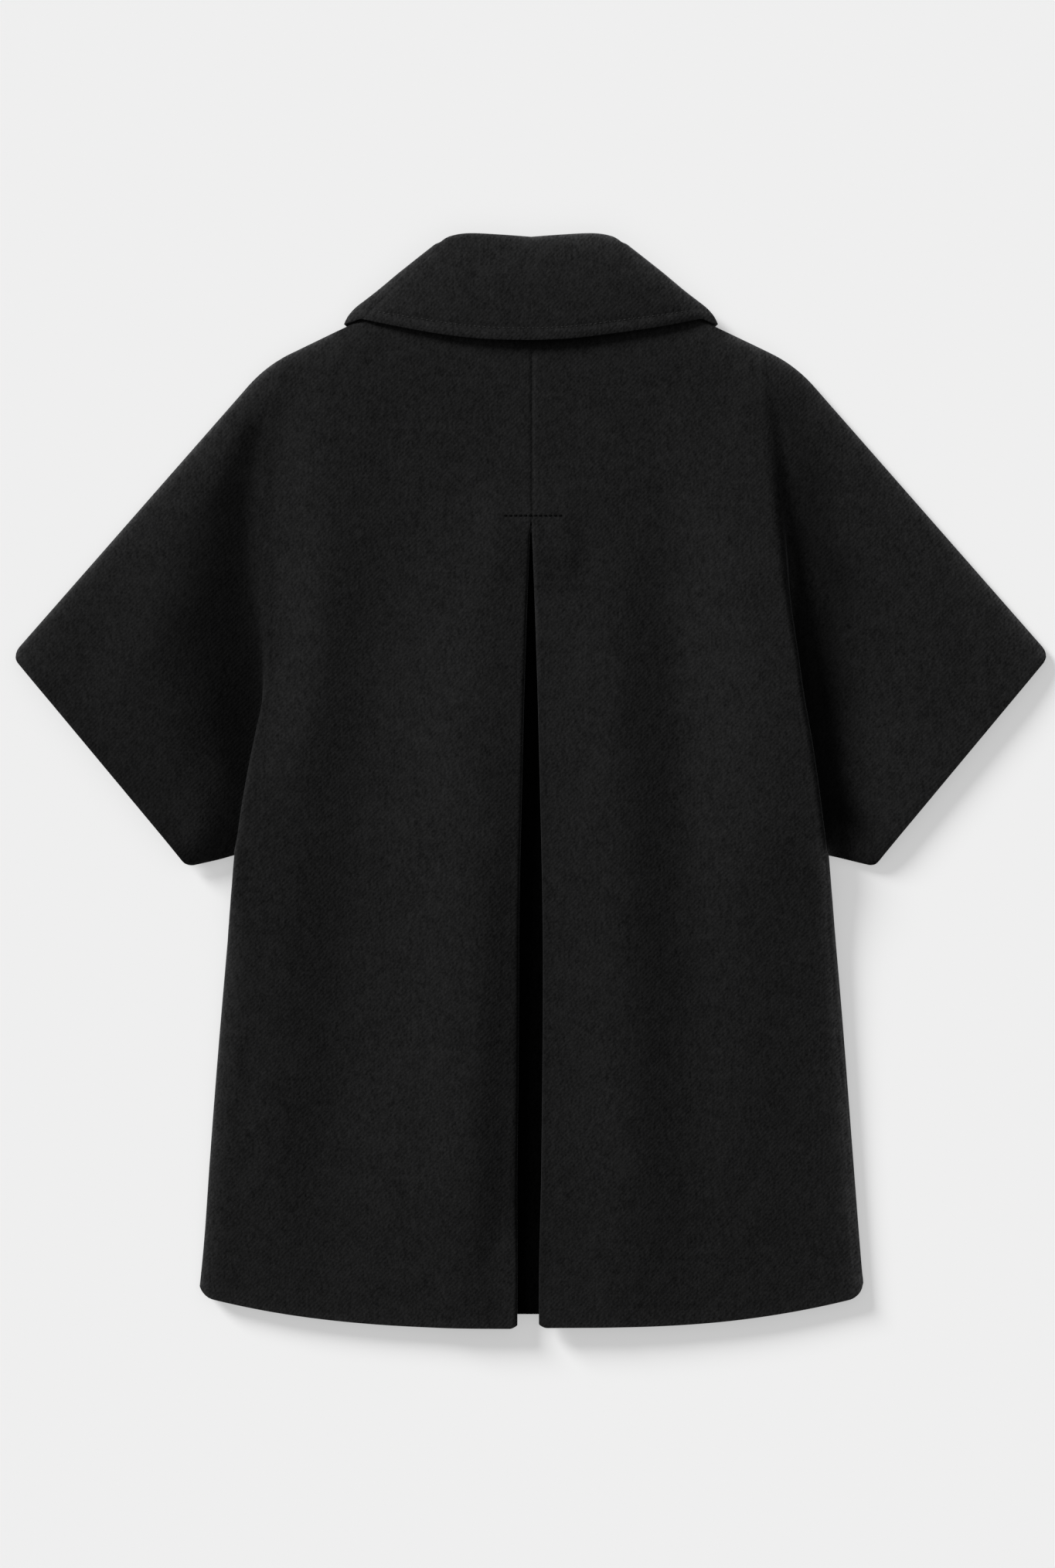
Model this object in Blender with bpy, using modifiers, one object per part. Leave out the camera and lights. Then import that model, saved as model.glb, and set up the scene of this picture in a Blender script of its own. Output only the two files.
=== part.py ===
"""Short coat with grown-on sleeves and an inverted back pleat, laid flat with its back up.

Metres, +Z up, +Y towards the collar, floor at z = 0. Every piece is the middle surface of its cloth,
as a grid of points, given the cloth's thickness. Halves are worked out for x > 0 and mirrored.
"""
import math
from collections import namedtuple

import bmesh
import bpy
from mathutils import Vector

NAME = "short_coat"

# Cloth: one layer, the two layers of the collar sewn together, and the space left at a seam.
CLOTH = 0.0024
COLLAR = 0.0042
GAP = 0.0003
PITCH = CLOTH + GAP
COLOUR = (0.012, 0.012, 0.014, 1.0)
ROUGHNESS = 0.95

# Levels along the body.
HEM_Y = -0.4245
HEM_RISE = 0.0250
HEM_CURVE = 2.7
UNDERARM_Y = -0.0546
NECK_Y = 0.3780
NECK_RISE = 0.0060

# Corners of the half outline: x, y, radius of the rounding.
NECK_SIDE = (0.0720, 0.3840, 0.0)
COLLAR_TUCK = (0.1420, 0.3520, 0.020)
SHOULDER = (0.2055, 0.3216, 0.130)
CUFF_TIP = (0.4023, 0.0973, 0.010)
CUFF_HEEL = (0.2670, -0.0652, 0.010)
UNDERARM_X = 0.2298
UNDERARM_RISE = 0.0040
SIDE_HEM_X = 0.2568
SIDE_HEM_Y = -0.3990
CORNER = 0.0100
PLEAT_CORNER = 0.0050
CUFF_NORMAL = (0.7707, -0.6372)

# Back pleat: half its opening below, the line's lean at the hem, the cloth turned under.
SEAM_X = 0.0003
PLEAT_TOP_Y = 0.2030
PLEAT_FULL_Y = -0.1480
PLEAT_HALF = 0.0090
PLEAT_LEAN = -0.0030
PLEAT_RADIUS = 0.0022
RETURN_TOP = 0.0240
RETURN_HEM = 0.0500
RETURN_SHORT = 0.0040
UNDERLAY_Y = (-0.4128, 0.2040)

# Height of the middle of the back, at the hem and above it, and its least loft over what it lies on.
BODY_Z = 0.0160
HEM_Z = 0.0106
HEM_EASE = 0.1400
LEAST_LOFT = 0.0012
SETTLE = 0.0016
TURN_MARGIN = 0.0140
TURN_EASE = 0.0300
TURN_TOP = 0.0600

# Soft folds of the back: x at the top and at the foot of each line, half its width, its height.
SOFT_FOLDS = {
    "right": ((0.060, 0.082, 0.030, 0.0042), (0.115, 0.135, 0.034, -0.0048)),
    "left": ((0.042, 0.050, 0.030, 0.0038), (0.106, 0.165, 0.038, -0.0064)),
}
SOFT_Y = (0.240, -0.400)
SOFT_START = (-0.10, 0.25)
SOFT_END = (0.75, 1.05)

# Rolled edges: radius at the neck, the overarm and the underarm.
NECK_ROLL = 0.0500
OVERARM_ROLL = 0.0550
UNDERARM_ROLL = 0.0300
ROLL_LEAST = 0.0010
UPPER_LENGTH = 0.4000

# Side of the body below the underarm: height at the hem, radius of the roll, share of the width where the
# body begins to come to that height, and how the height rises from the hem (0) to the underarm (1).
SideEdge = namedtuple("SideEdge", "level roll blend rise")
SIDE = {
    "right": SideEdge(0.0090, 0.0060, 0.45, ((0.0, 0.0), (0.5, 0.10), (0.7, 0.22), (0.85, 0.45), (1.0, 1.0))),
    "left": SideEdge(0.0098, 0.0150, 0.76, ((0.0, 0.0), (0.3, 0.55), (0.6, 0.75), (0.85, 0.92), (1.0, 1.0))),
}
JOIN_W = 0.78

# Fold of the body over the sleeve, from the underarm up to the shoulder: share of the way, x where the body
# begins to turn, width of the turn, its fall, loft of the sleeve at the bottom of it.
FOLD = {
    "right": (
        (0.00, 0.2255, 0.0002, 0.0165, 0.0010),
        (0.22, 0.2130, 0.0004, 0.0205, 0.0010),
        (0.40, 0.1998, 0.0040, 0.0205, 0.0010),
        (0.55, 0.1882, 0.0100, 0.0200, 0.0010),
        (0.70, 0.1793, 0.0200, 0.0150, 0.0024),
        (0.85, 0.1738, 0.0220, 0.0055, 0.0056),
        (1.00, 0.1740, 0.0030, 0.0003, 0.0080),
    ),
    "left": (
        (0.00, 0.2269, 0.0002, 0.0120, 0.0010),
        (0.10, 0.2180, 0.0006, 0.0110, 0.0010),
        (0.20, 0.2098, 0.0020, 0.0085, 0.0010),
        (0.30, 0.2050, 0.0045, 0.0050, 0.0010),
        (0.40, 0.2040, 0.0100, 0.0025, 0.0010),
        (0.52, 0.2040, 0.0150, 0.0015, 0.0012),
        (0.65, 0.2050, 0.0155, 0.0013, 0.0018),
        (0.79, 0.2020, 0.0150, 0.0011, 0.0042),
        (1.00, 0.1920, 0.0030, 0.0003, 0.0080),
    ),
}
FOLD_BLEND = {"right": (0.50, 0.90), "left": (0.76, 1.00)}
FOLD_SAG = 0.0040
FOLD_SLOPE = -0.15
SQUEEZE = 0.85
SQUEEZE_END = (0.30, 0.60)

# Cloth tucked under in the fold: depth at the underarm, share of the fold where it ends, least depth.
TUCK = 0.0260
TUCK_END = {"right": 0.45, "left": 0.20}
TUCK_POWER = 1.6
TUCK_LEAST = 0.0005

# Sleeve: how it swells away from the fold (height, reach, power) up to the overarm, its loft at the cuff,
# its width across at the fold and at the cuff, where its lower edge ends under the body.
SWELLING = {"right": (0.0030, 0.090, 1.5), "left": (0.0200, 0.045, 1.5)}
SWELLING_FADE = (0.60, 0.95)
CUFF_LOFT = {"right": 0.0050, "left": 0.0100}
SLEEVE_WIDTH = (0.390, 0.215)
SLEEVE_END_X = 0.2010

# Fronts: the lap at the centre, their hem, and how far they lie inside the back's edge.
LAP = 0.0350
LAP_FADE = (0.062, 0.125)
FRONT_HEM_Y = -0.4085
FRONT_NECK_Y = 0.2960
FRONT_INSET = 0.0022

# Collar: radius of its roll, radius of the turn at the side of the neck, its levels.
ROLL_RADIUS = 0.0025
STAND_TURN = 0.0036
LEAF_Z = COLLAR / 2 + 0.0001
STAND_FRONT_Z = LEAF_Z + 2 * ROLL_RADIUS
STAND_BACK_Z = STAND_FRONT_Z + 2 * STAND_TURN
FALL_CROWN = 0.0012
COLLAR_CLEAR = 0.0009
LEAF_LIFT = STAND_FRONT_Z - CLOTH / 2
LEAF_SPINE = ((0.032, 0.276), (0.106, 0.384))
LEAF_FADE = (0.058, 0.150)
SLOPE_EASE = 0.0012
FALL_STEPS = (0.2, 0.4, 0.6, 0.8, 0.93, 1.0)

# Sections of the collar from the centre back to its front end: neck seam, roll and outer edge, x and y.
COLLAR_BACK = (
    ((0.0000, 0.3792), (0.0000, 0.4172), (0.0000, 0.3414)),
    ((0.0230, 0.3798), (0.0240, 0.4190), (0.0350, 0.3422)),
    ((0.0430, 0.3818), (0.0480, 0.4200), (0.0680, 0.3450)),
    ((0.0590, 0.3858), (0.0620, 0.4178), (0.1000, 0.3516)),
    ((0.0660, 0.3888), (0.0695, 0.4140), (0.1265, 0.3572)),
)
COLLAR_SIDE = ((0.0700, 0.3906), (0.0704, 0.4100), (0.1408, 0.3504))
COLLAR_FRONT = (
    ((0.0660, 0.3868), (0.0650, 0.4066), (0.1270, 0.3350)),
    ((0.0390, 0.3530), (0.0370, 0.3640), (0.0880, 0.2870)),
    ((0.0080, 0.3075), (0.0070, 0.3180), (0.0500, 0.2400)),
)
TURN_ANGLES = (30.0, 60.0, 90.0, 120.0, 150.0)
COLLAR_OUTWARD = (0.639, 0.769)
ROLL_BACK = (0.0, 1.0)
TIP_ROUND = 0.0045
ROLL_FRONT = (-0.55, 0.835)

# Grid lines.
LOWER_ROWS = (*(k / 12 for k in range(12)), 0.965)
UPPER_ROWS = (0, 0.03, 0.08, 0.15, 0.225, 0.30, 0.375, 0.45, 0.525, 0.5955,
              0.66, 0.73, 0.80, 0.87, 0.93, 0.965, 0.985, 1.0)
BODY_COLUMNS = (0, 0.06, 0.15, 0.25, 0.35, 0.45, 0.55, 0.65, 0.75, 0.85, 0.93, 1.0)
SLEEVE_COLUMNS = (0.06, 0.14, 0.25, 0.38, 0.52, 0.66, 0.80, 0.91, 0.97, 1.0)
FRONT_COLUMNS = (0, 0.12, 0.22, 0.32, 0.43, 0.54, 0.65, 0.76, 0.88, 1.0)
FRONT_SLEEVE_COLUMNS = (0.15, 0.32, 0.50, 0.68, 0.84, 0.95, 1.0)
RETURN_COLUMNS = (1.0, 0.5, 0.0)
ARC_STEPS = 4


def smooth(low, high, value):
    """Eased step from 0 at low to 1 at high."""
    t = min(1.0, max(0.0, (value - low) / (high - low)))
    return t * t * (3 - 2 * t)


def mix(a, b, t):
    return a + (b - a) * t


def graded(rows, key):
    """Value at a key between the rows of a two-column table."""
    for (k0, v0), (k1, v1) in zip(rows, rows[1:]):
        if key <= k1:
            return mix(v0, v1, (key - k0) / (k1 - k0))
    return rows[-1][1]


Turn = namedtuple("Turn", "x angle radius reach depth fall valley")


def fold_at(side, v):
    """Turn of the body over the sleeve at a share of the way up the fold."""
    columns = (tuple((row[0], row[k]) for row in FOLD[side]) for k in range(1, 5))
    x, width, fall, valley = (graded(column, v) for column in columns)
    angle = 2 * math.atan2(fall, width)
    depth = TUCK * max(0.0, 1 - v / TUCK_END[side]) ** TUCK_POWER + TUCK_LEAST
    radius = (fall - depth * math.sin(angle)) / (2 * (1 - math.cos(angle)))
    return Turn(x, angle, radius, radius * mix(SQUEEZE, 1.0, smooth(*SQUEEZE_END, v)), depth, fall, valley)


def rounded(corners, steps=6):
    """Path through corners with their roundings, and the index of the middle of each rounding."""
    path = [Vector(corners[0][:2])]
    middles = []
    for before, corner, after in zip(corners, corners[1:], corners[2:]):
        at = Vector(corner[:2])
        to_before = (Vector(before[:2]) - at).normalized()
        to_after = (Vector(after[:2]) - at).normalized()
        half = to_before.angle(to_after) / 2
        centre = at + (to_before + to_after).normalized() * (corner[2] / math.sin(half))
        spoke = at + to_before * (corner[2] / math.tan(half)) - centre
        turn = math.copysign(math.pi - 2 * half, to_before.x * to_after.y - to_before.y * to_after.x)
        middles.append(len(path) + steps // 2)
        for k in range(steps + 1):
            angle = -turn * k / steps
            path.append(centre + Vector((spoke.x * math.cos(angle) - spoke.y * math.sin(angle),
                                         spoke.x * math.sin(angle) + spoke.y * math.cos(angle))))
    path.append(Vector(corners[-1][:2]))
    return path, middles


def walk(path, share):
    """Point at a share of a path's length."""
    lengths = [(b - a).length for a, b in zip(path, path[1:])]
    left = share * sum(lengths)
    for a, b, length in zip(path, path[1:], lengths):
        if left <= length:
            return a.lerp(b, left / length if length else 0.0)
        left -= length
    return path[-1].copy()


def split(path, x):
    """The parts of a path before and after it reaches x."""
    for k, (a, b) in enumerate(zip(path, path[1:])):
        if a.x <= x <= b.x:
            cut = a.lerp(b, (x - a.x) / (b.x - a.x))
            return path[:k + 1] + [cut], [cut] + path[k + 1:]
    return path, path[-1:]


def pleat_half(y):
    """Half the opening of the pleat."""
    t = min(1.0, max(0.0, (PLEAT_TOP_Y - y) / (PLEAT_TOP_Y - PLEAT_FULL_Y)))
    return max(SEAM_X, PLEAT_HALF * math.sin(t * math.pi / 2))


def lean(x, y):
    """Sideways shift of the pleat's line towards the hem."""
    return PLEAT_LEAN * smooth(PLEAT_FULL_Y, HEM_Y, y) * (1 - smooth(0.03, 0.15, abs(x)))


def side_x(y):
    """Outer edge of the body below the underarm."""
    return mix(UNDERARM_X, SIDE_HEM_X, (UNDERARM_Y - y) / (UNDERARM_Y - SIDE_HEM_Y))


def hem_y(x):
    """Hem of the back, with its rounded corners."""
    y = HEM_Y + HEM_RISE * (x / SIDE_HEM_X) ** HEM_CURVE
    outer = max(0.0, x - (SIDE_HEM_X - CORNER))
    inner = max(0.0, PLEAT_HALF + PLEAT_CORNER - x)
    y += CORNER - math.sqrt(max(0.0, CORNER ** 2 - outer ** 2))
    return y + PLEAT_CORNER - math.sqrt(max(0.0, PLEAT_CORNER ** 2 - inner ** 2))


def front_hem_y(x):
    """Hem of a front, a little above the back's."""
    y = FRONT_HEM_Y + (SIDE_HEM_Y - FRONT_HEM_Y) * (abs(x) / SIDE_HEM_X) ** HEM_CURVE
    outer = max(0.0, x - (SIDE_HEM_X - 2 * CORNER))
    return y + 2 * CORNER - math.sqrt((2 * CORNER) ** 2 - outer ** 2)


def leaf_share(x, y):
    """How far the cloth is lifted by the collar's front leaf, from 0 clear of it to 1 on it."""
    start, end = Vector(LEAF_SPINE[0]), Vector(LEAF_SPINE[1])
    at = Vector((abs(x), y))
    t = min(1.0, max(0.0, (at - start).dot(end - start) / (end - start).length_squared))
    return 1 - smooth(*LEAF_FADE, (at - start.lerp(end, t)).length)


def layer(x, y):
    """Distance from one layer up to the next, larger where the cloth slopes down from the leaf."""
    share = leaf_share(x, y)
    return PITCH + SLOPE_EASE * 4 * share * (1 - share)


def lap_share(x):
    """How far the cloth is lifted by the lap of the fronts."""
    return 1 - smooth(*LAP_FADE, x)


def front_z(side, x, y):
    """Middle surface of a front."""
    lap = lap_share(x) * (layer(x, y) + GAP) if side == "left" else 0.0
    return CLOTH / 2 + LEAF_LIFT * leaf_share(x, y) + lap


def base_z(x, y):
    """Lowest middle surface of a piece lying on the fronts."""
    return front_z("left", abs(x), y) + layer(x, y)


def return_z(x, y):
    """Middle surface of the cloth turned under at the pleat."""
    return base_z(x, y) + layer(x, y) + GAP


def turned_width(y):
    """Width of the cloth turned under at the pleat."""
    return mix(RETURN_HEM, RETURN_TOP, smooth(HEM_Y, PLEAT_TOP_Y, y))


def body_z(side, x, y):
    """Middle surface of the back away from its edges, with its soft folds and clear of what it lies on."""
    z = mix(HEM_Z, BODY_Z, smooth(0.0, HEM_EASE, y - HEM_Y))
    t = (SOFT_Y[0] - y) / (SOFT_Y[0] - SOFT_Y[1])
    share = smooth(*SOFT_START, t) * (1 - smooth(*SOFT_END, t))
    for top_x, foot_x, half_width, height in SOFT_FOLDS[side]:
        z += height * share * math.exp(-((x - mix(top_x, foot_x, t)) / half_width) ** 2)
    turned_end = pleat_half(y) + turned_width(y) + TURN_MARGIN
    turned = 1 - smooth(turned_end, turned_end + TURN_EASE, x)
    turned *= smooth(PLEAT_TOP_Y + TURN_TOP, PLEAT_TOP_Y, y)
    least = mix(base_z(x, y) + LEAST_LOFT, return_z(x, y) + layer(x, y) + GAP, turned)
    return (z + least + math.hypot(z - least, SETTLE)) / 2


def edge(distance, roll):
    """Share of the loft at a distance from a rolled edge."""
    return math.sqrt(1 - (1 - min(1.0, max(0.0, distance) / roll)) ** 2)


def back_z(side, x, y, below):
    """Middle surface of the back at a distance below its top edge."""
    return mix(base_z(x, y), body_z(side, x, y), edge(below, NECK_ROLL))


class HalfOutline:
    """Plan of a half coat above the underarm: body, fold line and sleeve."""

    def __init__(self, side, neckline, underarm_x):
        self.side = side
        outline, middles = rounded(
            (NECK_SIDE, COLLAR_TUCK, SHOULDER, CUFF_TIP, CUFF_HEEL, (underarm_x, UNDERARM_Y + UNDERARM_RISE)))
        tip, heel = middles[-2:]
        self.body_top, self.overarm = split(neckline + outline[:tip + 1], fold_at(side, 1.0).x)
        self.cuff = outline[heel:tip - 1:-1]
        self.underarm = outline[heel:][::-1]
        self.fold_top = self.body_top[-1]
        self.across_top = (walk(self.overarm, 0.03) - self.fold_top).normalized()
        self.sleeve_top = split(self.overarm, self.sleeve_start(1.0).x)[1]
        self.sleeve_top[0] = self.sleeve_start(1.0)

    def fold_line(self, v):
        """Edge of the body from the underarm to the shoulder."""
        start = Vector((UNDERARM_X, UNDERARM_Y))
        point = start.lerp(self.fold_top, v)
        point.x -= FOLD_SAG * 4 * v * (1 - v)
        return point

    def across(self, v):
        """Direction out over the sleeve."""
        return Vector((1.0, FOLD_SLOPE)).normalized().lerp(self.across_top, v * v).normalized()

    def body(self, inner, outer, u, v):
        """Point between the centre line and the fold, its top row on the neckline and shoulder."""
        straight = inner.lerp(outer, u)
        top = walk(self.body_top, u) - self.body_top[0].lerp(self.body_top[-1], u)
        return straight + top * v ** 3

    def sleeve(self, start, s, v):
        """Point between the fold and the cuff, inside the overarm and the underarm."""
        top = walk(self.sleeve_top, s)
        bottom = walk([self.sleeve_start(0.0)] + self.underarm[1:], s)
        cuff = walk(self.cuff, v)
        ruled = start.lerp(cuff, s) + bottom.lerp(top, v)
        corners = self.sleeve_start(0.0).lerp(self.sleeve_start(1.0), v)
        return ruled - corners.lerp(self.cuff[0].lerp(self.cuff[-1], v), s)

    def fold_start(self, v):
        """Where the body begins to turn over the sleeve."""
        return Vector((fold_at(self.side, v).x, mix(UNDERARM_Y, self.fold_top.y, v)))

    def sleeve_start(self, v):
        """Where the fold ends and the sleeve begins."""
        turn = fold_at(self.side, v)
        advance = 2 * turn.reach * math.sin(turn.angle) + turn.depth * math.cos(turn.angle)
        return self.fold_start(v) + self.across(v) * advance

    def foot_x(self, y):
        """Where the foot of the fold shows from above."""
        v = min(1.0, max(0.0, (y - UNDERARM_Y) / (self.fold_top.y - UNDERARM_Y)))
        turn = fold_at(self.side, v)
        bulge = turn.reach * math.sin(min(turn.angle, math.pi / 2))
        return max(turn.x + bulge, self.sleeve_start(v).x)

    def sleeve_z(self, point, s, v):
        """Middle surface of the sleeve's back."""
        height, reach, power = SWELLING[self.side]
        away = max(0.0, point.x - self.foot_x(point.y))
        swelling = height * (1 - math.exp(-(away / reach) ** power)) * (1 - smooth(*SWELLING_FADE, v))
        loft = mix(fold_at(self.side, v).valley + swelling, CUFF_LOFT[self.side], smooth(0.5, 1.0, s))
        width = mix(*SLEEVE_WIDTH, s)
        rolled = edge((1 - v) * width, OVERARM_ROLL) * edge(v * width + ROLL_LEAST, UNDERARM_ROLL)
        return base_z(point.x, point.y) + loft * rolled

    def fold_z(self, v):
        """Middle surface of the body where it begins to turn."""
        return self.sleeve_z(self.sleeve_start(v), 0, v) + fold_at(self.side, v).fall


def fold_section(start, z, across, turn):
    """Points of the body's turn over the sleeve, after its first point."""
    points = []
    for k in range(1, ARC_STEPS + 1):
        a = turn.angle * k / ARC_STEPS
        points.append((start + across * (turn.reach * math.sin(a)), z - turn.radius * (1 - math.cos(a))))
    plan, height = points[-1]
    plan = plan + across * (turn.depth * math.cos(turn.angle))
    height -= turn.depth * math.sin(turn.angle)
    points.append((plan, height))
    for k in range(1, ARC_STEPS + 1):
        a = turn.angle * (1 - k / ARC_STEPS)
        points.append((plan + across * (turn.reach * (math.sin(turn.angle) - math.sin(a))),
                       height - turn.radius * (math.cos(a) - math.cos(turn.angle))))
    return points


def pleat_columns(x, y, hem_share, top_z):
    """Cloth turned under at the pleat, and its fold, up to the first point of the body."""
    depth = turned_width(y)
    short = RETURN_SHORT * hem_share
    low = return_z(x, y)
    points = [Vector((x + depth * k, y + short, return_z(x + depth * k, y))) for k in RETURN_COLUMNS]
    for k in range(1, ARC_STEPS):
        a = math.pi * k / ARC_STEPS
        px = x - PLEAT_RADIUS * math.sin(a)
        points.append(Vector((px, y + short * (1 - k / ARC_STEPS), mix(low, top_z, (1 - math.cos(a)) / 2))))
    return points


def back_rows(side):
    """Grid of one half of the back."""
    outline = HalfOutline(side, neckline_back(), SLEEVE_END_X)
    return place(back_lower(side, outline) + back_upper(side, outline), side)


def back_lower(side, outline):
    """Rows of the back from the hem to the underarm."""
    under = fold_at(side, 0.0)
    under_z = outline.fold_z(0.0)
    seam_z = CLOTH + 2 * GAP
    rows = []
    for w in LOWER_ROWS:
        level = mix(HEM_Y, UNDERARM_Y, w)
        join = smooth(JOIN_W, 1.0, w)
        reach = mix(SIDE[side].roll, under.reach, join)
        start = pleat_half(level) + CLOTH / 2 + PLEAT_RADIUS
        end = side_x(level) - CLOTH / 2 - reach
        side_z = mix(SIDE[side].level, under_z, graded(SIDE[side].rise, w))
        blend = mix(Vector((SIDE[side].blend, 1.0)), Vector(FOLD_BLEND[side]), join)
        body = []
        for u in BODY_COLUMNS:
            x = mix(start, end, u)
            y = mix(hem_y(x), UNDERARM_Y, w)
            body.append(Vector((x, y, mix(body_z(side, x, y), side_z, smooth(*blend, u)))))
        angle = mix(math.pi / 2, under.angle, join)
        bottom_z = mix(seam_z, body[-1].z - 2 * under.radius, join)
        roll = []
        for k in range(1, ARC_STEPS + 1):
            a = angle * k / ARC_STEPS
            x = end + reach * math.sin(a)
            z = mix(body[-1].z, bottom_z, (1 - math.cos(a)) / (1 - math.cos(angle)))
            roll.append(Vector((x, mix(hem_y(x), UNDERARM_Y, w), z)))
        pleat = pleat_columns(start, body[0].y, 1 - smooth(0, 0.2, w), body[0].z)
        rest = [None] * (ARC_STEPS + 1 + len(SLEEVE_COLUMNS))
        rows.append(pleat + body + roll + rest)
    return rows


def back_upper(side, outline):
    """Rows of the back from the underarm to the neckline and the overarm."""
    blank = [None] * (len(RETURN_COLUMNS) + ARC_STEPS - 1)
    rows = []
    for v in UPPER_ROWS:
        level = mix(UNDERARM_Y, NECK_Y, v)
        open_below = level <= PLEAT_TOP_Y
        start = pleat_half(level) + CLOTH / 2 + PLEAT_RADIUS if open_below else SEAM_X
        fold = outline.fold_start(v)
        body = []
        for u in BODY_COLUMNS:
            plan = outline.body(Vector((start, level)), fold, u, v)
            z = back_z(side, *plan, (1 - v) * UPPER_LENGTH)
            body.append(Vector((*plan, mix(z, outline.fold_z(v), smooth(*FOLD_BLEND[side], u)))))
        section = fold_section(fold, body[-1].z, outline.across(v), fold_at(side, v))
        turned = [Vector((*plan, z)) for plan, z in section]
        sleeve = []
        for s in SLEEVE_COLUMNS:
            plan = outline.sleeve(outline.sleeve_start(v), s, v)
            sleeve.append(Vector((*plan, outline.sleeve_z(plan, s, v))))
        pleat = pleat_columns(start, level, 0.0, body[0].z) if open_below else blank
        rows.append(pleat + body + turned + sleeve)
    return rows


def neckline_back():
    """Back neckline from the centre to the side of the neck."""
    width = NECK_SIDE[0]
    return [Vector((width * k / 5, NECK_Y + NECK_RISE * (k / 5) ** 2)) for k in range(5)]


def neckline_front():
    """Front neckline from the lap to the side of the neck."""
    path, middles = rounded(((-LAP, FRONT_NECK_Y), (0.012, FRONT_NECK_Y, 0.030), NECK_SIDE))
    return path[:-1]


def front_rows(side):
    """Grid of one front."""
    outline = HalfOutline(side, neckline_front(), UNDERARM_X)
    rows = []
    for w in LOWER_ROWS:
        level = mix(HEM_Y, UNDERARM_Y, w)
        end = side_x(level) - FRONT_INSET
        plans = [mix(-LAP, end, u) for u in FRONT_COLUMNS]
        body = [Vector((x, mix(front_hem_y(x), UNDERARM_Y, w))) for x in plans]
        rows.append(body + [None] * len(FRONT_SLEEVE_COLUMNS))
    for v in UPPER_ROWS:
        inner = Vector((-LAP, mix(UNDERARM_Y, FRONT_NECK_Y, v)))
        outer = outline.fold_line(v) - Vector((FRONT_INSET, 0)) * (1 - v)
        body = [outline.body(inner, outer, u, v) for u in FRONT_COLUMNS]
        cuff = walk(outline.cuff, v)
        sleeve = []
        for s in FRONT_SLEEVE_COLUMNS:
            top = walk(outline.overarm, s)
            bottom = walk([Vector((UNDERARM_X - FRONT_INSET, UNDERARM_Y))] + outline.underarm[1:], s)
            corners = outline.fold_line(0).lerp(outline.fold_top, v)
            plan = outer.lerp(cuff, s) + bottom.lerp(top, v)
            plan -= corners.lerp(outline.cuff[0].lerp(outline.cuff[-1], v), s)
            plan -= Vector(CUFF_NORMAL) * FRONT_INSET * s * s
            sleeve.append(plan + Vector((0, FRONT_INSET)) * (1 - v) ** 4)
        rows.append(body + sleeve)
    solid = [[p and Vector((p.x, p.y, front_z(side, p.x, p.y))) for p in row] for row in rows]
    return place(solid, side)


def place(rows, side):
    """Rows on their own side of the coat."""
    sign = -1 if side == "left" else 1
    return [[p and Vector((sign * p.x + lean(p.x, p.y), p.y, p.z)) for p in row] for row in rows]


def underlay_rows():
    """Grid of the strip behind the pleat."""
    rows = []
    for k in range(23):
        y = mix(*UNDERLAY_Y, k / 22)
        width = turned_width(y) + pleat_half(y)
        xs = [width * t for t in (-1, -0.5, 0, 0.5, 1)]
        rows.append([Vector((x + lean(x, y), y, base_z(x, y))) for x in xs])
    return rows


def collar_section(neck, roll, outer, up, along, levels):
    """Points from the neck seam over the roll, which turns towards along, to the outer edge."""
    neck_z, roll_z, edge_z = levels
    neck, roll, outer, along = (Vector((*p, 0)) for p in (neck, roll, outer, along))
    stand = [neck.lerp(roll, t) + up * mix(neck_z, roll_z, t) for t in (0, 0.5, 1)]
    axis = roll + up * (roll_z + ROLL_RADIUS)
    arc = []
    for k in range(1, ARC_STEPS + 2):
        a = math.pi * k / (ARC_STEPS + 1)
        arc.append(axis + along * (ROLL_RADIUS * math.sin(a)) - up * (ROLL_RADIUS * math.cos(a)))
    top_z = roll_z + 2 * ROLL_RADIUS
    fall = []
    for t in FALL_STEPS:
        height = mix(top_z, edge_z, t) + FALL_CROWN * math.sin(math.pi * t)
        fall.append(roll.lerp(outer, t) + up * height)
    return stand + arc + fall


def between(sections, steps):
    """Sections with more between them, on a smooth curve through the ones given."""
    count = len(sections)
    result = []
    for k in range(count - 1):
        a, b, c, d = (sections[min(count - 1, max(0, k + n))] for n in (-1, 0, 1, 2))
        for i in range(steps):
            t = i / steps
            weights = ((-t + 2 * t ** 2 - t ** 3) / 2, (2 - 5 * t ** 2 + 3 * t ** 3) / 2,
                       (t + 4 * t ** 2 - 3 * t ** 3) / 2, (-t ** 2 + t ** 3) / 2)
            result.append([sum((w * Vector(p) for w, p in zip(weights, group)), Vector((0, 0)))
                           for group in zip(a, b, c, d)])
    result.append([Vector(p) for p in sections[-1]])
    return result


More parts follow.
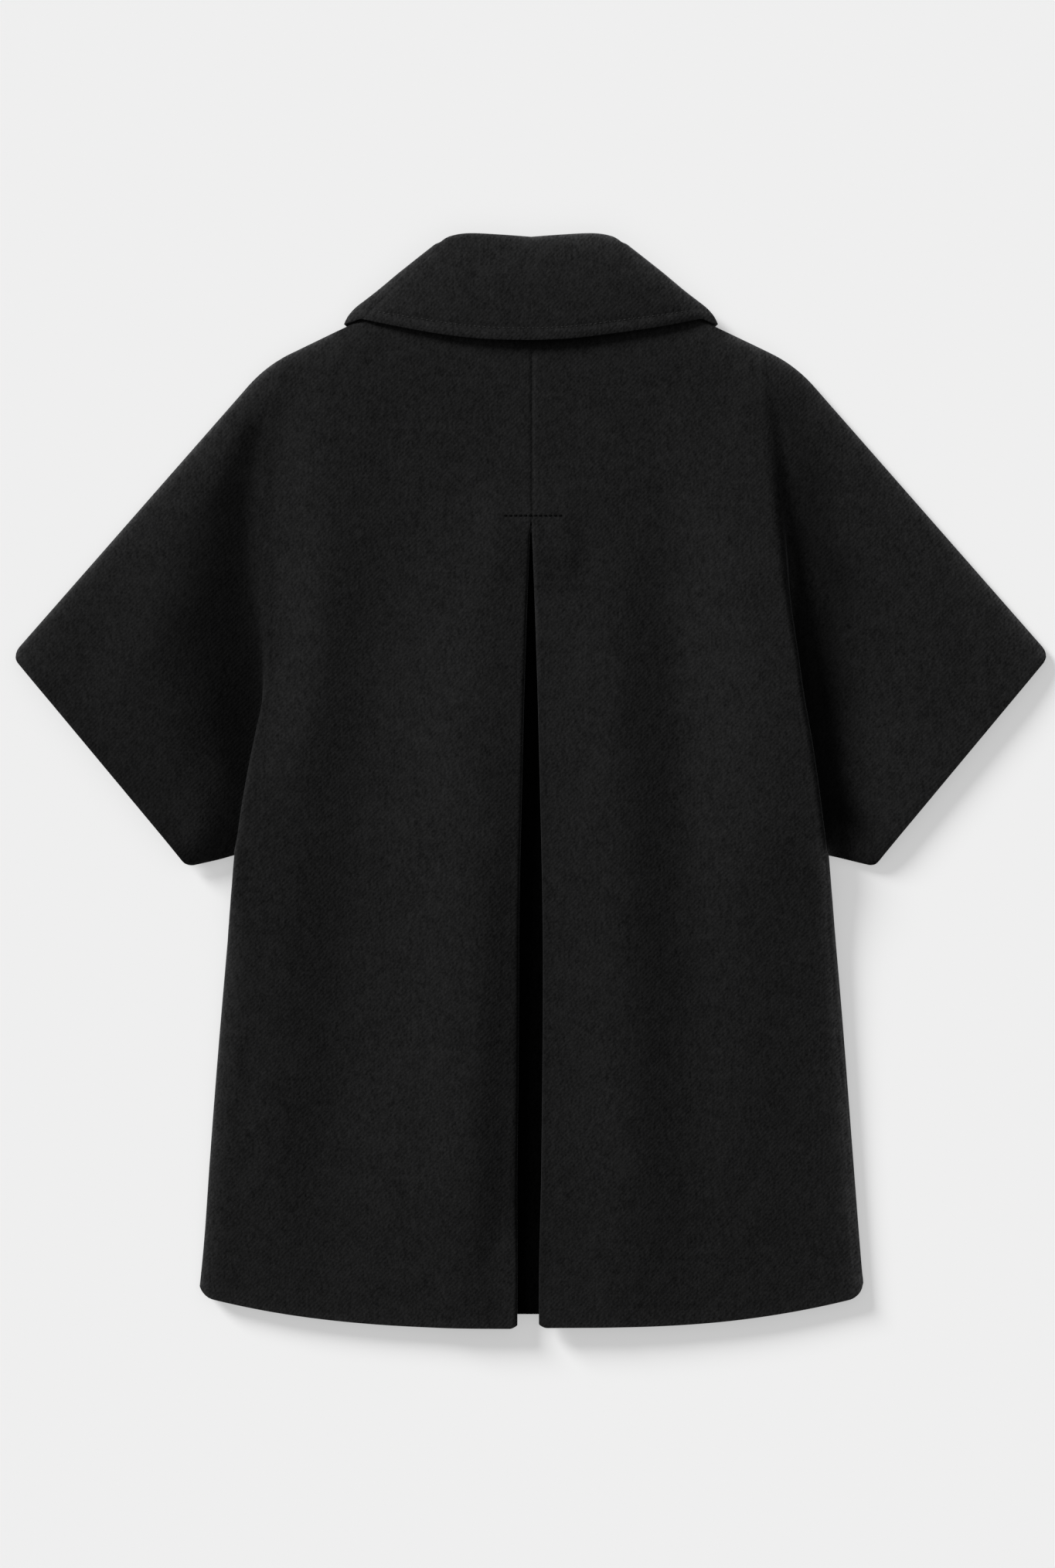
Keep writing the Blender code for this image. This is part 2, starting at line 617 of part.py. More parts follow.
def collar_rows():
    """Grid of the collar, from its left front end round the back to its right one."""
    up = Vector((0, 0, 1))
    top = HalfOutline("right", neckline_back(), SLEEVE_END_X).body_top
    half = []
    for neck, roll, outer in between(COLLAR_BACK, 2):
        below = split(top, outer.x)[0][-1].y - outer.y
        highest = max(back_z(side, *outer, below) for side in FOLD)
        edge_z = highest + (CLOTH + COLLAR) / 2 + COLLAR_CLEAR
        levels = (STAND_BACK_Z, STAND_BACK_Z, edge_z)
        half.append(collar_section(neck, roll, outer, up, ROLL_BACK, levels))
    middle_z = (STAND_FRONT_Z + STAND_BACK_Z) / 2
    side_edge_z = base_z(*COLLAR_SIDE[2]) + (CLOTH + COLLAR) / 2 + 2 * COLLAR_CLEAR
    edge_middle = (LEAF_Z + side_edge_z) / 2
    outward = Vector((*COLLAR_OUTWARD, 0))
    for degrees in TURN_ANGLES:
        a = math.radians(degrees)
        turned = up * math.cos(a) + outward * math.sin(a)
        levels = (STAND_TURN, STAND_TURN, side_edge_z - edge_middle)
        neck, roll, outer = (Vector(p) for p in COLLAR_SIDE)
        axis = (roll - outer).normalized()
        along = Vector(ROLL_BACK).lerp(axis, math.sin(a)).normalized()
        tip = outer + axis * TIP_ROUND * math.sin(a) ** 2
        section = collar_section(neck, roll, tip, turned, along, levels)
        rise = [middle_z] * (len(section) - len(FALL_STEPS))
        rise += [mix(middle_z, edge_middle, t) for t in FALL_STEPS]
        half.append([p + up * z for p, z in zip(section, rise)])
    for neck, roll, outer in between(COLLAR_FRONT, 3):
        levels = (-STAND_FRONT_Z, -STAND_FRONT_Z, -LEAF_Z)
        section = collar_section(neck, roll, outer, -up, ROLL_FRONT, levels)
        leaf = len(section) - len(FALL_STEPS)
        flat = [Vector((p.x, p.y, max(p.z, LEAF_Z))) for p in section[leaf:]]
        half.append(section[:leaf] + flat)
    mirrored = [[Vector((-p.x, p.y, p.z)) for p in row] for row in half[:0:-1]]
    return mirrored + half


def cloth(name, rows, thickness, collection):
    """One piece: its grid of points given the thickness of the cloth."""
    bm = bmesh.new()
    grid = [[p and bm.verts.new(p) for p in row] for row in rows]
    for low, high in zip(grid, grid[1:]):
        for corners in zip(low, low[1:], high[1:], high):
            if all(corners):
                bm.faces.new(corners)
    mesh = bpy.data.meshes.new(name)
    bm.to_mesh(mesh)
    bm.free()
    piece = bpy.data.objects.new(name, mesh)
    collection.objects.link(piece)
    shell = piece.modifiers.new("thickness", "SOLIDIFY")
    shell.thickness = thickness
    shell.offset = 0.0
    shell.use_quality_normals = True
    material = bpy.data.materials.new(name)
    material.use_nodes = True
    surface = material.node_tree.nodes["Principled BSDF"]
    surface.inputs["Base Color"].default_value = COLOUR
    surface.inputs["Roughness"].default_value = ROUGHNESS
    mesh.materials.append(material)


def main():
    for item in list(bpy.data.objects):
        bpy.data.objects.remove(item, do_unlink=True)
    collection = bpy.data.collections.new(NAME)
    bpy.context.scene.collection.children.link(collection)
    cloth("back_left", back_rows("left"), CLOTH, collection)
    cloth("back_right", back_rows("right"), CLOTH, collection)
    cloth("pleat_underlay", underlay_rows(), CLOTH, collection)
    cloth("front_left", front_rows("left"), CLOTH, collection)
    cloth("front_right", front_rows("right"), CLOTH, collection)
    cloth("collar", collar_rows(), COLLAR, collection)


main()
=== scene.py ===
"""Short coat in black felted wool, laid flat with its back up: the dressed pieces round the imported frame."""
import logging
import math
from abc import ABC, abstractmethod
from dataclasses import dataclass, field
from enum import Enum
from typing import List, Mapping, Optional, Sequence, Tuple, Union

import bpy
import numpy as np
from mathutils import Matrix, Vector


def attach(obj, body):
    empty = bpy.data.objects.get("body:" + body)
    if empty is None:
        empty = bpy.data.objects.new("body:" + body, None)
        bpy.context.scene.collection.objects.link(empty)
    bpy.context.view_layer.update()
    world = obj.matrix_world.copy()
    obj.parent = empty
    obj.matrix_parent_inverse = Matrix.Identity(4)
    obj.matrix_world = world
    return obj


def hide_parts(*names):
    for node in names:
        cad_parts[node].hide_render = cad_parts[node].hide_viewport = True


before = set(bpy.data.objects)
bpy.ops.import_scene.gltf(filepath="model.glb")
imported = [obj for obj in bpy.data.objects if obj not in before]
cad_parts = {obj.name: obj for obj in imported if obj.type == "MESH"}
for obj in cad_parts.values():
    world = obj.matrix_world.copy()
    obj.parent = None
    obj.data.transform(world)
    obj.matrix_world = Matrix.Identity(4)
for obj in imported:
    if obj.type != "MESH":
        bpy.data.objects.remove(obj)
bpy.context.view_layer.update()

BODY = "root"
LOG = logging.getLogger("short_coat")
Array = np.ndarray
Point = Tuple[float, float]
Corner = Tuple[float, float, float]
Table = Sequence[Point]
CollarLine = Tuple[Point, Point, Point]
ShadeRow = Tuple[float, float, float, float]
Colour = Tuple[float, float, float, float]
Cut = Tuple[Point, float]
Tree = bpy.types.NodeTree
Node = bpy.types.Node
Socket = bpy.types.NodeSocket
InputKey = Union[int, str]
InputValue = Union[float, Sequence[float]]
WHITE: Colour = (1.0, 1.0, 1.0, 1.0)
UP = np.array([0.0, 0.0, 1.0])
# Scale of a wave texture that has one band for each metre.
WAVE_BAND = math.pi / 10
# Edge of the pleat for a hem that has none, in metres, past all of the coat.
NO_PLEAT = -1.0
# Height over the floor from which stitches are let down on to the cloth, in metres.
RAY_Z = 1.0
# Least square of the length of a line, so that a point can be a line too.
SHORTEST = 1e-12


class Side(Enum):
    """Half of the coat, as it lies seen from above."""

    LEFT = -1
    RIGHT = 1

    @property
    def label(self) -> str:
        """Ending of the names of the pieces on this side."""
        return self.name.lower()


class Weave(Enum):
    """Finish of the cloth: its napped face, or its colour painted dark as the shade deep in the pleat."""

    NAPPED = "napped"
    SHADED = "shaded"


def smooth(low: float, high: float, value: Array) -> Array:
    """Eased step from 0 at low to 1 at high."""
    t = np.clip((np.asarray(value, float) - low) / (high - low), 0.0, 1.0)
    return t * t * (3 - 2 * t)


def mix(a: Array, b: Array, t: Array) -> Array:
    """Value between a and b."""
    return a + (b - a) * t


def curve(table: Table, key: Array) -> Array:
    """Smooth curve through the rows of a two-column table.

    Args:
        table: Rows of key and value, with rising keys.
        key: Where the value is wanted.

    Returns:
        The value at each key.
    """
    keys, values = np.array(table, float).T
    slopes = np.gradient(values, keys)
    low = np.clip(np.searchsorted(keys, key, side="right") - 1, 0, len(keys) - 2)
    step = keys[low + 1] - keys[low]
    t = np.clip((key - keys[low]) / step, 0.0, 1.0)
    bend = t * (1 - t) * step * ((1 - t) * slopes[low] - t * slopes[low + 1])
    return mix(values[low], values[low + 1], t * t * (3 - 2 * t)) + bend


def spaced(count: int, ends: float, tail: float = 0.0) -> Array:
    """Shares from 0 to 1, closer together at both ends.

    Args:
        count: Number of steps.
        ends: How much closer the steps are at both ends, from 0 to 1.
        tail: How much closer they are at the end alone, from 0 to 1.

    Returns:
        The shares, one more than the steps.
    """
    t = np.linspace(0.0, 1.0, count + 1)
    t = t - ends * np.sin(2 * np.pi * t) / (2 * np.pi)
    return mix(t, 1 - (1 - t) ** 2, tail)


def rounded(corners: Sequence[Corner], steps: int = 24) -> Tuple[Array, List[int]]:
    """Path through corners with their roundings.

    Args:
        corners: x, y and radius of each corner; the first and last are the ends.
        steps: Steps in each rounding.

    Returns:
        The points of the path, and the index of the middle of each rounding.
    """
    path = [np.array(corners[0][:2])]
    middles = []
    for before, corner, after in zip(corners, corners[1:], corners[2:]):
        at = Vector(corner[:2])
        to_before = (Vector(before[:2]) - at).normalized()
        to_after = (Vector(after[:2]) - at).normalized()
        half = to_before.angle(to_after) / 2
        centre = at + (to_before + to_after).normalized() * (corner[2] / math.sin(half))
        spoke = at + to_before * (corner[2] / math.tan(half)) - centre
        turn = math.copysign(math.pi - 2 * half, to_before.x * to_after.y - to_before.y * to_after.x)
        middles.append(len(path) + steps // 2)
        for k in range(steps + 1):
            point = Matrix.Rotation(-turn * k / steps, 2) @ spoke + centre
            path.append(np.array(point))
    path.append(np.array(corners[-1][:2]))
    return np.array(path), middles


class Path:
    """Line of points in plan, walked by shares of its length."""

    def __init__(self, points: Array) -> None:
        """Keeps the points and the length up to each of them.

        Args:
            points: Points of the line in plan.
        """
        self.points = np.asarray(points, float)
        steps = np.hypot(*np.diff(self.points, axis=0).T)
        self.lengths = np.concatenate([[0.0], np.cumsum(steps)])

    def at(self, share: Array) -> Array:
        """Points at shares of the length."""
        along = np.asarray(share, float) * self.lengths[-1]
        return np.stack([np.interp(along, self.lengths, self.points[:, k]) for k in (0, 1)], -1)

    def split(self, x: float) -> Tuple["Path", "Path"]:
        """The parts of the path before and after it first reaches x.

        Args:
            x: Where the path is cut.

        Returns:
            The two parts.
        """
        k = int(np.argmax((self.points[:-1, 0] <= x) & (self.points[1:, 0] >= x)))
        a, b = self.points[k], self.points[k + 1]
        cut = mix(a, b, (x - a[0]) / (b[0] - a[0]))
        return Path([*self.points[:k + 1], cut]), Path([cut, *self.points[k + 1:]])


@dataclass(frozen=True)
class Cloth:
    """Thickness of the wool, the space between layers and the rounded rims, in metres and degrees."""

    layer: float = 0.0024
    collar: float = 0.0044
    gap: float = 0.0003
    rim: float = 0.0010
    collar_rim: float = 0.0012
    rim_angle: float = 60.0
    rim_steps: int = 3

    @property
    def pitch(self) -> float:
        """Distance between the middles of two layers."""
        return self.layer + self.gap


CLOTH = Cloth()


@dataclass(frozen=True)
class Plan:
    """Levels and corners of the half coat from above; a corner is x, y and radius, in metres."""

    hem_y: float = -0.4245
    hem_rise: float = 0.0250
    hem_curve: float = 2.7
    underarm: Point = (0.2298, -0.0546)
    underarm_rise: float = 0.0040
    neck_y: float = 0.3780
    neck_rise: float = 0.0060
    neck_points: int = 24
    neck_side: Corner = (0.0720, 0.3840, 0.0)
    collar_tuck: Corner = (0.1420, 0.3520, 0.020)
    shoulder: Corner = (0.2055, 0.3216, 0.105)
    cuff_tip: Corner = (0.4023, 0.0973, 0.010)
    cuff_heel: Corner = (0.2670, -0.0652, 0.010)
    cuff_normal: Point = (0.7707, -0.6372)
    side_hem: Point = (0.2568, -0.3990)
    corner: float = 0.0100
    front_hem_y: float = -0.4085
    front_neck: Corner = (0.0120, 0.2960, 0.030)
    front_inset: float = 0.0022
    lap: float = 0.0350

    def side_x(self, y: Array) -> Array:
        """Outer edge of the body below the underarm."""
        share = (self.underarm[1] - y) / (self.underarm[1] - self.side_hem[1])
        return mix(self.underarm[0], self.side_hem[0], share)

    def hem(self, x: Array, lowest: float, pleat_edge: float, pleat_corner: float, corner: float) -> Array:
        """Level of a hem with its rounded corners.

        Args:
            x: Distance from the centre line.
            lowest: Level of the hem at the centre.
            pleat_edge: Where the corner at the pleat begins.
            pleat_corner: Radius of that corner.
            corner: Radius of the corner at the side.

        Returns:
            The y of the hem at each x.
        """
        highest = self.hem_y + self.hem_rise
        y = lowest + (highest - lowest) * (np.abs(x) / self.side_hem[0]) ** self.hem_curve
        outer = np.clip(x - (self.side_hem[0] - corner), 0.0, corner)
        inner = np.clip(pleat_edge + pleat_corner - x, 0.0, pleat_corner)
        y = y + corner - np.sqrt(corner ** 2 - outer ** 2)
        return y + pleat_corner - np.sqrt(pleat_corner ** 2 - inner ** 2)

    def neckline_back(self) -> Array:
        """Back neckline from the centre to short of the side of the neck."""
        t = np.linspace(0.0, 1.0, self.neck_points)[:-1]
        return np.stack([self.neck_side[0] * t, self.neck_y + self.neck_rise * t * t], -1)

    def neckline_front(self) -> Array:
        """Front neckline from the lap to short of the side of the neck."""
        path, _ = rounded(((-self.lap, self.front_neck[1], 0.0), self.front_neck, self.neck_side))
        return path[:-1]


PLAN = Plan()


@dataclass(frozen=True)
class Pleat:
    """Inverted pleat in the back: its opening, its lean and the cloth turned under, in metres."""

    top_y: float = 0.2030
    full_y: float = -0.1480
    half: float = 0.0083
    half_curve: float = 0.85
    seam: float = 0.00004
    bulge: float = 0.0010
    bulge_ends: Tuple[Point, Point] = ((0.02, -0.14), (-0.30, -0.39))
    lean_hem: float = -0.0022
    lean_fade: Point = (0.03, 0.15)
    corner: float = 0.0062
    radius: float = 0.0014
    radius_top: float = 0.0005
    radius_ease: float = 0.0500
    return_top: float = 0.0240
    return_hem: float = 0.0500
    underlay_y: Point = (-0.4138, 0.2040)

    def opening(self, y: Array) -> Array:
        """Half the opening.

        Args:
            y: Level.

        Returns:
            Distance from the pleat's line to its lip.
        """
        t = np.clip((self.top_y - y) / (self.top_y - self.full_y), 0.0, 1.0)
        begin, end = self.bulge_ends
        wider = self.bulge * smooth(*begin, y) * (1 - smooth(*end, y))
        return np.maximum(self.seam, self.half * np.sin(t * np.pi / 2) ** self.half_curve + wider)

    def lean(self, x: Array, y: Array) -> Array:
        """Sideways shift of the pleat's line towards the hem."""
        near = 1 - smooth(*self.lean_fade, np.abs(x))
        return self.lean_hem * smooth(self.full_y, PLAN.hem_y, y) * near

    def turned(self, y: Array) -> Array:
        """Width of the cloth turned under."""
        return mix(self.return_hem, self.return_top, smooth(PLAN.hem_y, self.top_y, y))

    def roll(self, y: Array) -> Array:
        """Radius of the fold at the opening's edge."""
        return mix(self.radius_top, self.radius, smooth(self.top_y, self.top_y - self.radius_ease, y))


PLEAT = Pleat()


@dataclass(frozen=True)
class Ground:
    """Heights of the fronts over the floor, which the back and the collar lie on, in metres."""

    leaf_z: float = 0.0022
    roll_radius: float = 0.0025
    leaf_spine: Tuple[Point, Point] = ((0.032, 0.276), (0.106, 0.384))
    leaf_fade: Point = (0.058, 0.150)
    slope_ease: float = 0.0012
    lap_fade: Point = (0.062, 0.125)

    @property
    def stand_front_z(self) -> float:
        """Middle of the collar's stand at the front."""
        return self.leaf_z + 2 * self.roll_radius

    def leaf_share(self, x: Array, y: Array) -> Array:
        """How far the cloth is lifted by the collar's front leaf, from 0 to 1.

        Args:
            x: Distance out from the centre line.
            y: Level.

        Returns:
            The share at each point.
        """
        start, end = np.array(self.leaf_spine)
        along = end - start
        ax, ay = np.abs(x) - start[0], y - start[1]
        t = np.clip((ax * along[0] + ay * along[1]) / (along @ along), 0.0, 1.0)
        return 1 - smooth(*self.leaf_fade, np.hypot(ax - t * along[0], ay - t * along[1]))

    def layer(self, x: Array, y: Array) -> Array:
        """Distance up to the next layer, larger where the cloth slopes down from the leaf."""
        share = self.leaf_share(x, y)
        return CLOTH.pitch + self.slope_ease * 4 * share * (1 - share)

    def front(self, side: Side, x: Array, y: Array) -> Array:
        """Middle of a front.

        Args:
            side: Which front it is.
            x: Distance out from the centre line.
            y: Level.

        Returns:
            The height at each point.
        """
        lift = (self.stand_front_z - CLOTH.layer / 2) * self.leaf_share(x, y)
        lap = 0.0
        if side is Side.LEFT:
            lap = (1 - smooth(*self.lap_fade, x)) * (self.layer(x, y) + CLOTH.gap)
        return CLOTH.layer / 2 + lift + lap

    def base(self, x: Array, y: Array) -> Array:
        """Lowest middle of a piece that lies on the fronts."""
        return self.front(Side.LEFT, np.abs(x), y) + self.layer(x, y)

    def turned(self, x: Array, y: Array) -> Array:
        """Middle of the cloth turned under at the pleat."""
        return self.base(x, y) + self.layer(x, y) + CLOTH.gap


GROUND = Ground()


@dataclass(frozen=True)
class SoftFold:
    """Broad ridge or hollow in the cloth along a line from its top to its foot; lengths in metres.

    Half its width is given towards the centre and away from it. The fade holds the shares of the line
    between which the fold comes up, and those between which it goes.
    """

    top: Point
    foot: Point
    half_widths: Point
    height: float
    fade: Tuple[float, float, float, float] = (-0.10, 0.25, 0.85, 1.15)

    def at(self, x: Array, y: Array) -> Array:
        """Height that the fold adds at each point.

        Args:
            x: Distance out from the centre line.
            y: Level.

        Returns:
            The height at each point.
        """
        t = (self.top[1] - y) / (self.top[1] - self.foot[1])
        line = mix(self.top[0], self.foot[0], t)
        share = smooth(self.fade[0], self.fade[1], t) * (1 - smooth(self.fade[2], self.fade[3], t))
        half_width = np.where(x < line, *self.half_widths)
        return self.height * share * np.exp(-((x - line) / half_width) ** 2)


@dataclass(frozen=True)
class SideFold:
    """Fold of the body over its sleeve; tables run from the underarm (0) up to the shoulder (1), in metres.

    A row of shade is the share of the way up, how dark the painted shade in the trough beside the fold lies,
    how far it does so fully and its reach. Points named fade or soften are shares of the way up between which
    a value changes, and blend the shares of the body's width over which the body comes to the fold's height.
    Least_tuck is the shortest cloth in the fold and what the underarm adds to it, crest_place the middle and
    the width of the painted highlight along the body's edge.
    """

    start: Table
    width: Table
    fall: Table
    hollow: Table
    swelling: Tuple[float, float, float]
    shade: Sequence[ShadeRow]
    shade_start: Point
    cuff: float
    tuck_end: float
    blend: Point
    tuck: float = 0.026
    tuck_curve: float = 1.6
    least_tuck: Point = (0.0002, 0.0008)
    least_width: float = 0.0002
    swelling_fade: Point = (0.60, 0.95)
    squeeze: float = 0.72
    squeeze_fade: Point = (0.3, 0.6)
    slope: float = -0.15
    crest_painted_highlight: float = 0.0
    crest_place: Point = (-0.0015, 0.0025)
    crest_fade: Point = (0.35, 0.5)
    shade_full: float = 0.004
    soften: Point = (0.22, 0.45)
    narrow: float = 1.0
    narrow_fade: Point = (0.05, 0.36)

    @property
    def top_x(self) -> float:
        """Where the fold meets the shoulder."""
        return self.start[-1][1]

    def angle(self, v: Array) -> Array:
        """Angle that the cloth turns through: right under in a tight fold, little in an open one."""
        return 2 * np.arctan2(self.drop(v), np.maximum(curve(self.width, v), self.least_width))

    def depth(self, v: Array) -> Array:
        """Length of cloth between the two turns."""
        tight = np.maximum(0.0, 1 - v / self.tuck_end) ** self.tuck_curve
        return self.tuck * tight + self.least_tuck[0] + self.least_tuck[1] * (1 - v)

    def drop(self, v: Array) -> Array:
        """Fall in height through the fold."""
        return curve(self.fall, v)

    def radius(self, v: Array) -> Array:
        """Upright radius of the turn."""
        angle = self.angle(v)
        return (self.drop(v) - self.depth(v) * np.sin(angle)) / (2 * (1 - np.cos(angle)))

    def reach(self, v: Array) -> Array:
        """Level radius of the turn."""
        return self.radius(v) * mix(self.squeeze, 1.0, smooth(*self.squeeze_fade, v))

    def floor(self, v: Array) -> Array:
        """Loft of the sleeve at the bottom of the fold."""
        return curve(self.hollow, v)

    def swell(self, away: Array, v: Array) -> Array:
        """Height that the sleeve gains at a distance from the fold.

        Args:
            away: Distance out from the foot of the fold.
            v: Shares of the way up the fold.

        Returns:
            The height at each point.
        """
        height, reach, power = self.swelling
        reach = reach * mix(self.narrow, 1.0, smooth(*self.narrow_fade, v))
        gained = height * (1 - np.exp(-(np.maximum(away, 0.0) / reach) ** power))
        return gained * (1 - smooth(*self.swelling_fade, v))

    def shaded(self, away: Array, v: Array) -> Array:
        """Painted shade on the sleeve in the trough beside the fold, at a distance from the fold.

        Args:
            away: Distance out from the foot of the fold.
            v: Shares of the way up the fold.

        Returns:
            Share that is taken from the colour.
        """
        shares, *columns = zip(*self.shade)
        depth, full, reach = (np.interp(v, shares, column) for column in columns)
        start = -mix(*self.shade_start, smooth(*self.soften, v))
        begun = smooth(start, self.shade_full, away)
        return depth * np.exp(-(np.maximum(away - full, 0.0) / reach) ** 2) * begun

    def lit(self, away: Array, v: Array) -> Array:
        """Painted highlight along the body's edge over the sleeve."""
        middle, width = self.crest_place
        return self.crest_painted_highlight * np.exp(-((away - middle) / width) ** 2) * (1 - smooth(*self.crest_fade, v))


@dataclass(frozen=True)
class Nap:
    """Painted highlight along a rolled edge where its fibres catch the light; gains, and reaches in metres."""

    sharp: Point
    soft: Point = (0.0, 0.010)

    def gain(self, distance: Array) -> Array:
        """Share of the colour that is added at a distance from the edge."""
        return sum(gain * np.exp(-distance / reach) for gain, reach in (self.sharp, self.soft))


@dataclass(frozen=True)
class SideEdge:
    """Edge of the body below the underarm; lengths in metres, tables from the hem (0) to the underarm (1).

    Level and rise give its height at the hem and how that changes up to the underarm. Roll is its radius,
    and blend the shares of the body's width over which the body comes to its height. Drift is how far it lies
    out from a straight line.
    """

    level: float
    rise: Table
    roll: float
    blend: Point
    # Painted highlight along the rolled side edge.
    nap: Nap
    drift: Table


class HalfOutline:
    """Plan of a half coat above the underarm: body, fold line and sleeve."""

    OVERARM_SHARE = 0.03

    def __init__(self, fold: SideFold, neckline: Array, underarm_x: float) -> None:
        """Splits the outline at the fold.

        Args:
            fold: Fold of the body over the sleeve.
            neckline: Points from the centre to the side of the neck.
            underarm_x: Where the sleeve's lower edge ends at the body.
        """
        self.fold = fold
        underarm = (underarm_x, PLAN.underarm[1] + PLAN.underarm_rise, 0.0)
        corners = (PLAN.neck_side, PLAN.collar_tuck, PLAN.shoulder, PLAN.cuff_tip, PLAN.cuff_heel, underarm)
        outline, (_, _, tip, heel) = rounded(corners)
        self.body_top, self.overarm = Path([*neckline, *outline[:tip + 1]]).split(fold.top_x)
        self.cuff = Path(outline[heel:tip - 1:-1])
        self.underarm = Path(outline[heel:][::-1])
        self.fold_top = self.body_top.points[-1]
        across_top = self.overarm.at(self.OVERARM_SHARE) - self.fold_top
        self.across_top = across_top / np.hypot(*across_top)
        start, end = self.sleeve_start(np.array([0.0, 1.0]))
        self.sleeve_top = self.overarm.split(end[0])[1]
        self.sleeve_top.points[0] = end
        self.sleeve_bottom = Path([start, *self.underarm.points[1:]])

    def fold_line(self, v: Array) -> Array:
        """Straight line from the underarm to the top of the fold."""
        return mix(np.array(PLAN.underarm), self.fold_top, v[:, None])

    def across(self, v: Array) -> Array:
        """Direction out over the sleeve.

        Args:
            v: Shares of the way up the fold.

        Returns:
            A direction in plan for each share.
        """
        start = np.array([1.0, self.fold.slope])
        way = mix(start / np.hypot(*start), self.across_top, (v * v)[:, None])
        return way / np.hypot(way[:, 0], way[:, 1])[:, None]

    def fold_start(self, v: Array) -> Array:
        """Where the body begins to turn over the sleeve.

        Args:
            v: Shares of the way up the fold.

        Returns:
            A point in plan for each share.
        """
        point = self.fold_line(v)
        point[:, 0] = curve(self.fold.start, v)
        return point

    def sleeve_start(self, v: Array) -> Array:
        """Where the fold ends and the sleeve begins.

        Args:
            v: Shares of the way up the fold.

        Returns:
            A point in plan for each share.
        """
        angle = self.fold.angle(v)
        advance = 2 * self.fold.reach(v) * np.sin(angle) + self.fold.depth(v) * np.cos(angle)
        return self.fold_start(v) + self.across(v) * advance[:, None]

    def body(self, inner: Array, outer: Array, u: Array, v: Array) -> Array:
        """Points between the centre line and the fold, the top row on the neckline and shoulder.

        Args:
            inner: First point of each row.
            outer: Last point of each row.
            u: Shares from the centre line to the fold.
            v: Shares of the way up the fold.

        Returns:
            A row of points for each v.
        """
        straight = mix(inner[:, None], outer[:, None], u[None, :, None])
        ends = mix(self.body_top.points[0], self.body_top.points[-1], u[:, None])
        top = self.body_top.at(u) - ends
        return straight + top[None] * (v ** 3)[:, None, None]

    def sleeve(self, start: Array, s: Array, v: Array, bottom: Path, top: Path) -> Array:
        """Points between the fold and the cuff, inside the overarm and the underarm.

        Args:
            start: First point of each row.
            s: Shares from the fold to the cuff.
            v: Shares from the underarm to the overarm.
            bottom: Lower edge of the sleeve.
            top: Upper edge of the sleeve.

        Returns:
            A row of points for each v.
        """
        cuff = self.cuff.at(v)
        ruled = mix(start[:, None], cuff[:, None], s[None, :, None])
        ruled = ruled + mix(bottom.at(s)[None], top.at(s)[None], v[:, None, None])
        inner = mix(bottom.points[0], top.points[0], v[:, None])
        outer = mix(self.cuff.points[0], self.cuff.points[-1], v[:, None])
        return ruled - mix(inner[:, None], outer[:, None], s[None, :, None])


def mesh_piece(name: str, grid: Array, flip: bool = False) -> bpy.types.Object:
    """Open sheet through a grid of points; a missing point is not a number.

    Args:
        name: Name of the piece.
        grid: Rows of points.
        flip: Turns the faces over.

    Returns:
        The new object.
    """
    present = ~np.isnan(grid[..., 0])
    index = np.full(present.shape, -1)
    index[present] = np.arange(int(present.sum()))
    quads = np.stack([index[:-1, :-1], index[:-1, 1:], index[1:, 1:], index[1:, :-1]], -1).reshape(-1, 4)
    quads = quads[(quads >= 0).all(1)]
    if flip:
        quads = quads[:, ::-1]
    mesh = bpy.data.meshes.new(name)
    mesh.from_pydata(grid[present].tolist(), [], quads.tolist())
    mesh.update()
    piece = bpy.data.objects.new(name, mesh)
    bpy.context.scene.collection.objects.link(piece)
    return piece


def apply_modifiers(piece: bpy.types.Object) -> None:
    """Applies every modifier of a piece.

    Args:
        piece: Piece with its modifiers.
    """
    bpy.ops.object.select_all(action="DESELECT")
    piece.select_set(True)
    bpy.context.view_layer.objects.active = piece
    for modifier in list(piece.modifiers):
        bpy.ops.object.modifier_apply(modifier=modifier.name)
    bpy.ops.object.shade_smooth()


def thicken(piece: bpy.types.Object, thickness: float, rim: float) -> None:
    """Gives a sheet its thickness and rounds its edges.

    Args:
        piece: Open sheet through the middle of the cloth.
        thickness: Thickness of the cloth.
        rim: Radius of its rounded edge.
    """
    shell = piece.modifiers.new("thickness", "SOLIDIFY")
    shell.thickness = thickness
    shell.offset = 0.0
    shell.use_quality_normals = True
    if piece.vertex_groups:
        shell.vertex_group = piece.vertex_groups[0].name
        shell.thickness_vertex_group = 0.0
    bevel = piece.modifiers.new("rounded_edge", "BEVEL")
    bevel.limit_method = "ANGLE"
    bevel.angle_limit = math.radians(CLOTH.rim_angle)
    bevel.width = rim
    bevel.segments = CLOTH.rim_steps
    apply_modifiers(piece)


def distance_to(line: Array, x: Array, y: Array) -> Array:
    """Distance in plan from each point to a line of points.

    Args:
        line: Points of the line in plan.
        x: x of the points.
        y: Their y.

    Returns:
        The distance of each point.
    """
    nearest = np.full(np.shape(x), np.inf)
    for a, b in zip(line[:-1], line[1:]):
        along = b - a
        square = max(along @ along, SHORTEST)
        t = np.clip(((x - a[0]) * along[0] + (y - a[1]) * along[1]) / square, 0.0, 1.0)
        nearest = np.minimum(nearest, np.hypot(x - a[0] - t * along[0], y - a[1] - t * along[1]))
    return nearest


def places(piece: bpy.types.Object) -> Array:
    """x, y and z of the points of a piece.

    Args:
        piece: Piece whose points are wanted.

    Returns:
        A row each of x, y and z.
    """
    points = np.empty(3 * len(piece.data.vertices))
    piece.data.vertices.foreach_get("co", points)
    return points.reshape(-1, 3).T


def tone(value: float, blue: float = 1.0) -> Colour:
    """Grey, with its blue stronger by a factor."""
    return value, value, value * blue, 1.0


